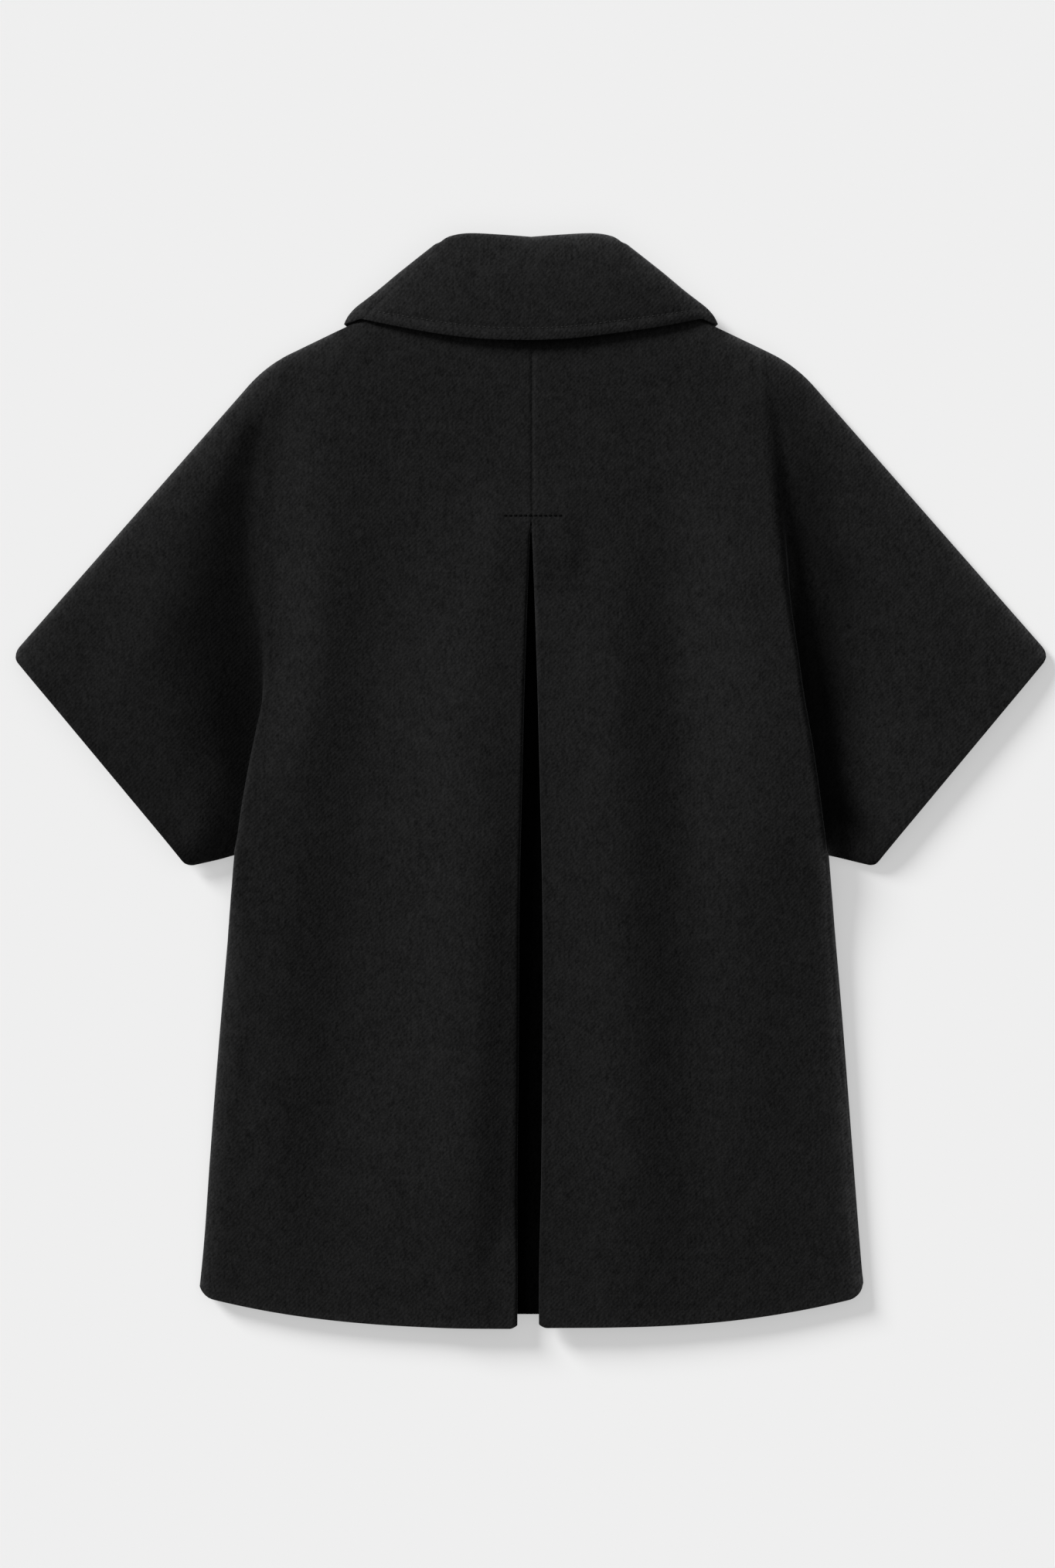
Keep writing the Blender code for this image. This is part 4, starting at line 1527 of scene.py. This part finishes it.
@dataclass
class Collar(Panel):
    """Collar cut in one with its stand, folded at the roll; lengths in metres.

    A section goes from the neck seam over the roll to the outer edge; each row below gives these three
    points in plan, from the centre back to the front end. The gain on the bead is a painted highlight, for the
    left and for the right, and the gain along the outer edge a painted highlight with its reach. The shadow
    below the outer edge is painted on the back: how dark, how far down, and where and how far across.
    """

    back_half: BackHalf
    back: Sequence[CollarLine] = (
        ((0.0000, 0.3792), (0.0000, 0.4172), (0.0000, 0.3414)),
        ((0.0230, 0.3798), (0.0240, 0.4190), (0.0350, 0.3424)),
        ((0.0430, 0.3818), (0.0480, 0.4200), (0.0680, 0.3460)),
        ((0.0590, 0.3858), (0.0620, 0.4178), (0.1000, 0.3518)),
        ((0.0660, 0.3888), (0.0690, 0.4136), (0.1290, 0.3580)),
    )
    turn: CollarLine = ((0.0690, 0.3885), (0.0677, 0.4068), (0.1403, 0.3500))
    front: Sequence[CollarLine] = (
        ((0.0660, 0.3868), (0.0650, 0.4066), (0.1270, 0.3350)),
        ((0.0390, 0.3530), (0.0370, 0.3640), (0.0880, 0.2870)),
        ((0.0080, 0.3075), (0.0070, 0.3180), (0.0500, 0.2400)),
    )
    outward: Point = (0.639, 0.769)
    roll_back: Point = (0.0, 1.0)
    roll_front: Point = (-0.55, 0.835)
    roll_radius: float = 0.0025
    stand_turn: float = 0.0027
    tip_bow: float = 0.0032
    tip_power: int = 6
    roll_bow: float = 0.0021
    roll_bow_fade: Point = (0.35, 0.85)
    crown: float = 0.0024
    clear: float = 0.0010
    lifted: Point = (0.0020, 0.075)
    skew: Tuple[float, float, float] = (0.0014, 0.062, 0.036)
    stitch_in: float = 0.0088
    stitch_dip: float = 0.00006
    dip_width: float = 0.018
    bead: float = 0.0007
    edge_thin: float = 0.62
    thin_from: float = 0.80
    end_out: float = 0.0068
    end_points: int = 20
    # Painted highlights along the roll and the ends, on the bead and along the outer edge.
    painted_highlight_left: Nap = Nap(sharp=(0.6, 0.003), soft=(0.34, 0.035))
    painted_highlight_right: Nap = Nap(sharp=(2.6, 0.004), soft=(0.50, 0.016))
    painted_highlight_turn: Point = (-0.05, 0.05)
    bead_painted_highlight: Point = (0.40, 0.32)
    bead_place: Point = (0.0028, 0.0036)
    bead_turn: Point = (-0.05, 0.03)
    bead_fade: Point = (0.085, 0.125)
    edge_painted_highlight: Point = (0.16, 0.020)
    # Painted shadow on the back below the outer edge: how dark, how far down, where and how far across.
    painted_collar_shadow: Tuple[float, float, float, float] = (0.55, 0.0055, 0.028, 0.072)
    stand_steps: int = 6
    arc_steps: int = 10
    fall_steps: int = 60
    fall_spacing: float = 0.3
    back_steps: int = 12
    turn_steps: int = 18
    front_steps: int = 14
    line_steps: int = 24

    @property
    def stand_back_z(self) -> float:
        """Middle of the stand at the back."""
        return GROUND.stand_front_z + 2 * self.stand_turn

    @property
    def fall_start(self) -> int:
        """Number of points in a section before the fall."""
        return self.stand_steps + 1 + self.arc_steps

    def section(self, line: Array, up: Array, along: Array, levels: Point) -> Array:
        """Points from the neck seam over the roll to the outer edge.

        Args:
            line: Neck, roll and outer edge in plan.
            up: Direction in which the roll is built up.
            along: Direction that the roll bulges in.
            levels: Height of the stand and of the outer edge along up.

        Returns:
            The points of the section.
        """
        neck, roll, outer = (np.array([*p, 0.0]) for p in line)
        along = np.array([*along, 0.0])
        stand_z, edge_z = levels
        t = np.linspace(0.0, 1.0, self.stand_steps + 1)[:, None]
        stand = mix(neck, roll, t) + up * stand_z
        a = (np.pi * np.arange(1, self.arc_steps + 1) / self.arc_steps)[:, None]
        axis = roll + up * (stand_z + self.roll_radius)
        arc = axis + along * (self.roll_radius * np.sin(a)) - up * (self.roll_radius * np.cos(a))
        t = self.fall_shares()[:, None]
        height = mix(stand_z + 2 * self.roll_radius, edge_z, t)
        height = height + max(up[2], 0.0) * self.relief(t, roll, outer)
        fall = mix(roll, outer, t) + up * height
        return np.concatenate([stand, arc, fall])

    def relief(self, t: Array, roll: Array, outer: Array) -> Array:
        """Crown of the fall, the dip along the stitching and the bead between it and the edge.

        Args:
            t: Shares from the roll to the outer edge.
            roll: Point of the roll.
            outer: Point of the outer edge.

        Returns:
            The height that is added at each share.
        """
        row = 1 - self.stitch_in / np.hypot(*(roll - outer)[:2])
        dip = self.stitch_dip * np.exp(-((t - row) / self.dip_width) ** 2)
        bead = self.bead * np.sin(np.pi * np.clip((t - row) / (1 - row), 0.0, 1.0))
        return self.crown * np.sin(np.pi * t) + bead - dip

    def bowed(self, t: Array) -> Array:
        """How far the collar's end bows out over the shoulder, at shares from the roll to the outer edge.

        Args:
            t: The shares.

        Returns:
            A shift for each share.
        """
        power = self.tip_power
        tip = self.tip_bow * t ** power * (1 - t) * (power + 1) ** (power + 1) / power ** power
        roll = self.roll_bow * (1 - smooth(*self.roll_bow_fade, t))
        return np.outer(tip + roll, (*self.outward, 0.0))

    def skewed(self, x: Array, share: Array) -> Array:
        """How much further up the collar lies on the right, at shares from the roll to the outer edge."""
        height, middle, width = self.skew
        return height * np.exp(-((x - middle) / width) ** 2) * share ** 2

    def fall_shares(self) -> Array:
        """Shares from the roll to the outer edge."""
        return spaced(self.fall_steps, self.fall_spacing)[1:]

    @staticmethod
    def between(lines: Sequence[CollarLine], steps: int) -> Array:
        """Lines with more between them, on a smooth curve through those given.

        Args:
            lines: Lines that are given.
            steps: Steps from one of them to the next.

        Returns:
            All the lines.
        """
        points = np.array(lines)
        padded = np.concatenate([points[:1], points, points[-1:]])
        result = []
        for a, b, c, d in zip(padded, padded[1:], padded[2:], padded[3:]):
            for t in np.arange(steps) / steps:
                result.append((a * (-t + 2 * t ** 2 - t ** 3) + b * (2 - 5 * t ** 2 + 3 * t ** 3)
                               + c * (t + 4 * t ** 2 - 3 * t ** 3) + d * (-t ** 2 + t ** 3)) / 2)
        return np.array([*result, points[-1]])

    def edge_z(self, line: Array) -> float:
        """Middle of the outer edge at a line of the back, over the cloth that it lies on.

        Args:
            line: Neck, roll and outer edge in plan.

        Returns:
            The height.
        """
        rise = (CLOTH.layer + CLOTH.collar * self.edge_thin) / 2 + self.clear
        lifted = self.lifted[0] * np.exp(-(line[2, 0] / self.lifted[1]) ** 2)
        return self.back_half.top_z(*line[2]) + rise + lifted

    def half(self) -> Array:
        """Sections from the centre back to the right front end.

        Returns:
            A row of points for each section.
        """
        back = self.between(self.back, self.back_steps)
        front = self.between(self.front, self.front_steps)
        rows = []
        for line in back:
            rows.append(self.section(line, UP, self.roll_back, (self.stand_back_z, self.edge_z(line))))
        rows.extend(self.turned(back[-1], front[0]))
        for line in front:
            section = self.section(line, -UP, self.roll_front, (-GROUND.stand_front_z, -GROUND.leaf_z))
            fall = section[self.fall_start:]
            fall[:, 2] = np.maximum(fall[:, 2], GROUND.leaf_z)
            rows.append(section)
        return np.array(rows)

    def turned(self, back_end: Array, front_end: Array) -> List[Array]:
        """Sections of the turn at the side of the neck.

        Args:
            back_end: Last line of the back.
            front_end: First line of the front.

        Returns:
            The sections between the two lines.
        """
        shares, edge_z = self.fall_shares(), self.edge_z(back_end)
        stand_middle = (GROUND.stand_front_z + self.stand_back_z) / 2
        edge_middle = (GROUND.leaf_z + edge_z) / 2
        fall_lift = mix(stand_middle, edge_middle, shares)
        lift = np.concatenate([np.full(self.fall_start, stand_middle), fall_lift])
        levels = (self.stand_turn, edge_z - edge_middle)
        roll_bow = self.bowed(np.zeros(1))
        stand_bow = roll_bow * np.linspace(0.0, 1.0, self.stand_steps + 1)[:, None]
        bow = np.concatenate([stand_bow, roll_bow.repeat(self.arc_steps, 0), self.bowed(shares)])
        outward = np.array([*self.outward, 0.0])
        turn = np.array(self.turn)
        axis = (turn[1] - turn[2]) / np.hypot(*(turn[1] - turn[2]))
        rows = []
        for a in np.pi * np.arange(1, self.turn_steps) / self.turn_steps:
            way = UP * math.cos(a) + outward * math.sin(a)
            roll_way, end = (self.roll_back, back_end) if a < np.pi / 2 else (self.roll_front, front_end)
            along = mix(np.array(roll_way), axis, math.sin(a))
            line = mix(end, turn, math.sin(a))
            line[2] = mix(end[2], turn[2], math.sin(a) ** 2)
            section = self.section(line, way, along / np.hypot(*along), levels)
            rows.append(section + bow * math.sin(a) + UP * lift[:, None])
        return rows

    def build(self) -> bpy.types.Object:
        """Makes the collar as a sheet with its thickness.

        Returns:
            The new object.
        """
        half = self.half()
        grid = np.concatenate([(half * np.array([-1.0, 1.0, 1.0]))[:0:-1], half])
        shares = np.concatenate([np.zeros(self.fall_start), self.fall_shares()])
        grid[..., 1] += self.skewed(grid[..., 0], shares)
        piece = mesh_piece("wool_collar", grid)
        group = piece.vertex_groups.new(name="thickness")
        rows, columns = grid.shape[:2]
        for column, share in enumerate(mix(1.0, self.edge_thin, smooth(self.thin_from, 1.0, shares))):
            group.add(range(column, rows * columns, columns), float(share), "REPLACE")
        thicken(piece, CLOTH.collar, CLOTH.collar_rim)
        return piece

    def dress(self, piece: bpy.types.Object) -> None:
        """Gives the collar its finish: painted highlights along the roll and the ends,
        on the bead and near the outer edge.

        Args:
            piece: Object of the collar.
        """
        x, y, _ = places(piece)
        rolled = np.array([0.0, self.roll_radius + CLOTH.collar / 2])
        roll = self.between(self.back, self.back_steps)[:, 1] + rolled
        end = np.array(self.turn)[2] + np.array(self.outward) * self.end_out
        t = np.linspace(0.0, 1.0, self.end_points)
        line = np.concatenate([roll, mix(roll[-1], end, t[:, None]) + self.bowed(t)[:, :2]])
        distance = distance_to(line, np.abs(x), y)
        lighter = mix(self.painted_highlight_left.gain(distance), self.painted_highlight_right.gain(distance), smooth(*self.painted_highlight_turn, x))
        inside = distance_to(self.outer_line(), x, y)
        bead = mix(*self.bead_painted_highlight, smooth(*self.bead_turn, x)) * (1 - smooth(*self.bead_fade, np.abs(x)))
        middle, width = self.bead_place
        edge, reach = self.edge_painted_highlight
        lighter = lighter + bead * np.exp(-((inside - middle) / width) ** 2) + edge * np.exp(-inside / reach)
        WOOL.brush(piece, lighter)
        piece.data.materials.append(WOOL.material(piece.name))

    def paint_collar_shadow(self, back: bpy.types.Object) -> None:
        """Paints a shadow on a half of the back just below the collar's outer edge.

        Args:
            back: Object of that half.
        """
        x, y, _ = places(back)
        depth, reach, middle, width = self.painted_collar_shadow
        line = self.outer_line()
        below = np.maximum(np.interp(x, line[:, 0], line[:, 1]) - y, 0.0)
        WOOL.paint_shade(back, depth * np.exp(-((x - middle) / width) ** 2 - (below / reach) ** 2))

    def outer_line(self, inside: float = 0.0) -> Array:
        """Plan of the outer edge, or of a line inside it, from left to right.

        Args:
            inside: How far inside the edge the line lies.

        Returns:
            Its points in plan.
        """
        lines = self.between(self.back, self.line_steps)
        inward = lines[:, 1] - lines[:, 2]
        inward = inward / np.hypot(inward[:, 0], inward[:, 1])[:, None]
        half = lines[:, 2] + inward * inside
        line = np.concatenate([(half * np.array([-1.0, 1.0]))[:0:-1], half])
        line[:, 1] += self.skewed(line[:, 0], 1.0)
        return line


@dataclass
class StitchRow:
    """Row of stitches that lie on a piece; lengths in metres.

    Touch_share is where along half its length a stitch is laid on the cloth. Blunt is the power that fills
    out its ends, and dive is how far they sink, in thicknesses.
    """

    name: str
    pitch: float
    length: float
    thickness: float
    sunk: float
    touch_share: float = 0.7
    sides: int = 8
    rings: int = 6
    blunt: float = 0.6
    dive: float = 0.6

    def build(self, line: Array, carriers: Sequence[bpy.types.Object]) -> bpy.types.Object:
        """Lays the stitches along a line in plan.

        Args:
            line: Points of the row in plan.
            carriers: Pieces that the stitches may lie on.

        Returns:
            The row as one object.
        """
        path = Path(line)
        count = int(path.lengths[-1] / self.pitch)
        shares = (np.arange(count) + 0.5) / count
        reach = self.length / 2 / path.lengths[-1]
        verts, faces = self.stitch()
        all_verts: List[Vector] = []
        all_faces: List[Tuple[int, ...]] = []
        for share in shares:
            start, middle, end = (self.touch(path.at(share + k * reach), carriers)
                                  for k in (-self.touch_share, 0.0, self.touch_share))
            if start is None or end is None or middle is None:
                continue
            along = (end[0] - start[0]).normalized()
            normal = (middle[1] - along * middle[1].dot(along)).normalized()
            across = normal.cross(along)
            turn = Matrix((along, across, normal)).transposed()
            place = middle[0] - normal * self.sunk
            first = len(all_verts)
            all_verts.extend(turn @ p + place for p in verts)
            all_faces.extend(tuple(first + k for k in f) for f in faces)
        mesh = bpy.data.meshes.new(self.name)
        mesh.from_pydata(all_verts, [], all_faces)
        mesh.shade_smooth()
        row = bpy.data.objects.new(self.name, mesh)
        bpy.context.scene.collection.objects.link(row)
        return row

    def stitch(self) -> Tuple[List[Vector], List[Tuple[int, ...]]]:
        """One stitch along x, as points and faces.

        Returns:
            The points, and the points of each face by number.
        """
        bpy.ops.object.select_all(action="DESELECT")
        bpy.ops.mesh.primitive_uv_sphere_add(segments=self.sides, ring_count=self.rings, radius=0.5)
        ball = bpy.context.object
        bpy.ops.object.mode_set(mode="EDIT")
        bpy.ops.transform.rotate(value=math.pi / 2, orient_axis="Y", center_override=(0, 0, 0))
        bpy.ops.object.mode_set(mode="OBJECT")
        verts = []
        for vert in ball.data.vertices:
            x = math.copysign(abs(2 * vert.co.x) ** self.blunt, vert.co.x) / 2
            dip = (2 * x) ** 4 * self.thickness * self.dive
            y, z = vert.co.y * self.thickness, vert.co.z * self.thickness
            verts.append(Vector((x * self.length, y, z - dip)))
        faces = [tuple(f.vertices) for f in ball.data.polygons]
        bpy.data.objects.remove(ball, do_unlink=True)
        return verts, faces

    @staticmethod
    def touch(plan: Array, carriers: Sequence[bpy.types.Object]) -> Optional[Tuple[Vector, Vector]]:
        """Highest point and normal of the carriers under a point in plan, or nothing.

        Args:
            plan: The point in plan.
            carriers: Pieces that the stitches may lie on.

        Returns:
            The point and the normal, or None.
        """
        best = None
        for carrier in carriers:
            hit, at, normal, _ = carrier.ray_cast(Vector((*plan, RAY_Z)), Vector(-UP))
            if hit and (best is None or at.z > best[0].z):
                best = (at, normal)
        return best


@dataclass
class Studio:
    """Pale floor, soft light and the camera straight above; lengths in metres, angles in degrees."""

    floor_size: float = 14.0
    floor_colour: float = 0.405
    floor_glow: float = 0.426
    floor_z: float = 0.0
    key_way: Point = (-0.74, 0.673)
    key_height: float = 21.5
    key_angle: float = 19.0
    key_strength: float = 6.00
    top_angle: float = 120.0
    top_strength: float = 0.88
    fill: float = 0.10
    lens: float = 100.0
    frame_height: float = 1.2174
    frame_z: float = 0.008
    aim: Point = (-0.0027, -0.0021)
    clip_end: float = 100.0

    def build(self) -> None:
        """Sets up the floor, the lights and the camera."""
        self.floor()
        self.light()
        self.camera()
        bpy.context.scene.view_settings.view_transform = "Standard"

    def floor(self) -> None:
        """Pale matt floor under the coat, with a glow of its own."""
        bpy.ops.object.select_all(action="DESELECT")
        bpy.ops.mesh.primitive_plane_add(size=self.floor_size, location=(0.0, 0.0, self.floor_z))
        floor = bpy.context.object
        floor.name = "floor"
        material, _, surface = new_material("floor")
        set_inputs(surface, {"Base Color": tone(self.floor_colour), "Roughness": 1.0,
                             "Specular IOR Level": 0.0, "Emission Color": WHITE,
                             "Emission Strength": self.floor_glow})
        floor.data.materials.append(material)

    def light(self) -> None:
        """Soft key from the top left and an even fill."""
        height = math.radians(self.key_height)
        level = Vector((*self.key_way, 0.0)).normalized() * math.cos(height)
        way = level + Vector((0.0, 0.0, math.sin(height)))
        self.lamp("key", self.key_strength, self.key_angle, way)
        self.lamp("top", self.top_strength, self.top_angle, Vector(UP))
        world = bpy.data.worlds.new("studio")
        world.use_nodes = True
        set_inputs(world.node_tree.nodes["Background"], {"Color": WHITE, "Strength": self.fill})
        bpy.context.scene.world = world

    @staticmethod
    def lamp(name: str, strength: float, angle: float, way: Vector) -> None:
        """Adds one far, soft lamp.

        Args:
            name: Name of the lamp.
            strength: Its strength.
            angle: Its width in the sky, in degrees.
            way: Direction towards it.
        """
        light = bpy.data.lights.new(name, "SUN")
        light.energy = strength
        light.angle = math.radians(angle)
        lamp = bpy.data.objects.new(name, light)
        lamp.rotation_mode = "QUATERNION"
        lamp.rotation_quaternion = way.to_track_quat("Z", "Y")
        bpy.context.scene.collection.objects.link(lamp)

    def camera(self) -> None:
        """Camera straight above, with the photograph's frame on the coat."""
        data = bpy.data.cameras.new("camera")
        data.lens = self.lens
        camera = bpy.data.objects.new("camera", data)
        distance = self.lens / data.sensor_width * self.frame_height
        camera.location = (*self.aim, distance + self.frame_z)
        data.clip_end = self.clip_end
        bpy.context.scene.collection.objects.link(camera)
        bpy.context.scene.camera = camera


# Rows of shade in both folds are painted shade in the trough; the crest gets a painted highlight along the
# body's edge.
RIGHT_FOLD = SideFold(
    start=((0.0, 0.2255), (0.218, 0.2130), (0.307, 0.2068), (0.405, 0.2012), (0.520, 0.1932),
           (0.589, 0.1891), (0.651, 0.1862), (0.713, 0.1832), (0.774, 0.1802), (0.836, 0.1783),
           (0.90, 0.1780), (1.0, 0.1790)),
    width=((0.0, 0.0002), (0.30, 0.0006), (0.40, 0.0035), (0.47, 0.0090), (0.53, 0.0140), (0.58, 0.0170),
           (0.64, 0.0195), (0.70, 0.0215), (0.85, 0.0230), (1.0, 0.0030)),
    fall=((0.0, 0.0165), (0.15, 0.0195), (0.30, 0.0210), (0.45, 0.0190), (0.53, 0.0168), (0.589, 0.0150),
          (0.651, 0.0130), (0.713, 0.0110), (0.774, 0.0085), (0.836, 0.0058), (0.90, 0.0028), (0.95, 0.0010),
          (1.0, 0.0003)),
    hollow=((0.0, 0.0008), (0.30, 0.0008), (0.45, 0.0012), (0.55, 0.0026), (0.70, 0.0042), (0.85, 0.0062),
            (1.0, 0.0080)),
    swelling=(0.0030, 0.090, 1.5),
    shade=((0.0, 0.70, 0.030, 0.0200), (0.034, 0.70, 0.026, 0.0180), (0.096, 0.68, 0.018, 0.0140),
           (0.157, 0.66, 0.012, 0.0105), (0.342, 0.61, 0.018, 0.0240), (0.528, 0.46, 0.024, 0.0300),
           (0.589, 0.46, 0.022, 0.0240), (0.651, 0.46, 0.014, 0.0200), (0.713, 0.42, 0.014, 0.0200),
           (0.774, 0.30, 0.014, 0.0200), (0.836, 0.22, 0.012, 0.0200), (0.898, 0.05, 0.010, 0.0160),
           (0.944, 0.0, 0.010, 0.0160)),
    shade_start=(0.002, 0.012), cuff=0.0050, tuck_end=0.45, blend=(0.50, 0.90), crest_painted_highlight=0.12,
    soften=(0.48, 0.68))
LEFT_FOLD = SideFold(
    start=((0.0, 0.2269), (0.03, 0.2247), (0.085, 0.2218), (0.141, 0.2184), (0.196, 0.2146), (0.252, 0.2104),
           (0.307, 0.2060), (0.36, 0.2035), (0.475, 0.2020), (0.56, 0.2028), (0.63, 0.2042), (0.724, 0.2056),
           (0.786, 0.2046), (0.849, 0.2022), (1.0, 0.1920)),
    width=((0.0, 0.0002), (0.10, 0.0006), (0.20, 0.0020), (0.30, 0.0045), (0.40, 0.0100), (0.50, 0.0150),
           (0.75, 0.0160), (1.0, 0.0030)),
    fall=((0.0, 0.0120), (0.10, 0.0110), (0.20, 0.0085), (0.30, 0.0050), (0.40, 0.0025), (0.50, 0.0015),
          (0.75, 0.0012), (1.0, 0.0003)),
    hollow=((0.0, 0.0008), (0.30, 0.0008), (0.50, 0.0010), (0.65, 0.0018), (0.79, 0.0042), (0.90, 0.0066),
            (1.0, 0.0080)),
    swelling=(0.0200, 0.045, 1.5),
    shade=((0.0, 0.0, 0.010, 0.010), (0.097, 0.05, 0.010, 0.010),
           (0.160, 0.46, 0.012, 0.013), (0.222, 0.51, 0.018, 0.019), (0.285, 0.58, 0.022, 0.022),
           (0.347, 0.52, 0.020, 0.038), (0.441, 0.48, 0.020, 0.042), (0.630, 0.47, 0.020, 0.040),
           (0.724, 0.57, 0.020, 0.009), (0.786, 0.46, 0.010, 0.009), (0.849, 0.48, 0.007, 0.008),
           (0.90, 0.14, 0.006, 0.008), (0.94, 0.0, 0.006, 0.008)),
    shade_start=(0.002, 0.018), cuff=0.0110, tuck_end=0.20, blend=(0.76, 1.0), narrow=0.56)
# The side edges carry a painted highlight along their rolled edge.
RIGHT_SIDE = SideEdge(
    level=0.0088,
    rise=((0.0, 0.0), (0.5, 0.10), (0.7, 0.22), (0.85, 0.45), (0.93, 0.7), (1.0, 1.0)),
    roll=0.006, blend=(0.45, 1.0), nap=Nap(sharp=(7.0, 0.0025), soft=(0.3, 0.010)),
    drift=((0.0, -0.0004), (0.1, 0.0), (0.4, 0.0010), (0.7, 0.0015), (0.9, 0.0010), (1.0, 0.0006)))
LEFT_SIDE = SideEdge(
    level=0.0098,
    rise=((0.0, 0.0), (0.3, 0.55), (0.6, 0.75), (0.85, 0.92), (1.0, 1.0)),
    roll=0.015, blend=(0.76, 1.0), nap=Nap(sharp=(0.7, 0.0016)),
    drift=((0.0, -0.0012), (0.12, -0.0012), (0.3, -0.0002), (0.5, 0.0004), (0.8, 0.0003), (1.0, 0.0)))
RIGHT_FOLDS = (
    SoftFold((0.060, 0.200), (0.082, -0.400), (0.030, 0.030), 0.0042),
    SoftFold((0.115, 0.240), (0.135, -0.400), (0.034, 0.034), -0.0048, (-0.10, 0.25, 0.60, 1.05)),
)
LEFT_FOLDS = (
    SoftFold((0.042, 0.200), (0.050, -0.400), (0.030, 0.030), 0.0038),
    SoftFold((0.106, 0.240), (0.162, -0.400), (0.058, 0.038), -0.0066, (-0.10, 0.25, 0.75, 1.05)),
)
# The fifth value of each half is a painted highlight along the shoulder and the overarm.
RIGHT_BACK = BackHalf(
    Side.RIGHT, RIGHT_FOLD, RIGHT_FOLDS, RIGHT_SIDE, Nap(sharp=(2.6, 0.0022), soft=(0.60, 0.014)),
    hem_shade=0.08, hem_drop=(-0.0007, 0.0005), hem_corner=0.0098)
LEFT_BACK = BackHalf(
    Side.LEFT, LEFT_FOLD, LEFT_FOLDS, LEFT_SIDE, Nap(sharp=(1.4, 0.0018), soft=(0.28, 0.012)),
    hem_shade=0.06, droop=0.0036, cuff_painted_highlight=0.35, over_roll=0.047,
    lip_shade=(0.50, 0.0055), lip_ends=((-0.06, -0.15), (-0.33, -0.38)),
    # Painted shade over the left sleeve, by share of the way up.
    sleeve_shade=((0.0, 0.32), (0.14, 0.28), (0.25, 0.14), (0.36, 0.15), (0.44, 0.24), (0.54, 0.20),
                  (0.63, 0.05), (0.72, 0.0), (1.0, 0.0)))
TOPSTITCH = StitchRow("collar_topstitch", pitch=0.0037, length=0.0027, thickness=0.0009, sunk=0.00005)
BAR = StitchRow("pleat_bar", pitch=0.0036, length=0.0041, thickness=0.0020, sunk=0.00040)
BAR_LINE = ((-0.0216, 0.2056), (0.0246, 0.2056))
BAR_THREAD = Thread(colour=0.0040, gloss=0.0)
# Flat size in metres and area in square metres of the cut pieces.
BACK_CUT: Cut = ((0.46, 0.82), 0.25)
FRONT_CUT: Cut = ((0.46, 0.80), 0.236)
UNDERLAY_CUT: Cut = ((0.118, 0.617), 0.056)
COLLAR_CUT: Cut = ((0.17, 0.55), 0.054)


def main() -> None:
    """Builds the pieces of the coat in order, then the studio."""
    logging.basicConfig(level=logging.INFO, format="%(name)s %(message)s")
    backs = []
    for half in (LEFT_BACK, RIGHT_BACK):
        backs.append(half.make())
        front = FrontHalf(half.side, half.fold).make()
        below = [] if half.side is Side.RIGHT else ["front_right"]
        Piece(f"front_{half.side.label}", *FRONT_CUT, below).declare(front)
    underlay = PleatUnderlay().make()
    Piece("pleat_underlay", *UNDERLAY_CUT, ["front_left", "front_right"]).declare(underlay)
    collar = Collar(RIGHT_BACK)
    turned = collar.make()
    # Painted shadow below the collar's outer edge on both halves of the back.
    for back in backs:
        collar.paint_collar_shadow(back)
    row = TOPSTITCH.build(collar.outer_line(collar.stitch_in), [turned])
    bar = BAR.build(np.array(BAR_LINE), backs)
    threads = (Thread().material("thread"), BAR_THREAD.material("dark_thread"))
    for stitches, slot, thread in zip((row, bar), ("collar", "back_right"), threads):
        stitches.data.materials.append(thread)
        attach(stitches, BODY)
        report(stitches)
    Piece("collar", *COLLAR_CUT, ["back_left", "back_right"], [row]).declare(turned)
    for back, side in zip(backs, Side):
        extras = [bar] if side is Side.RIGHT else []
        below = [f"front_{side.label}", "pleat_underlay"]
        Piece(f"back_{side.label}", *BACK_CUT, below, extras).declare(back)
    Studio().build()


if __name__ == "__main__":
    main()
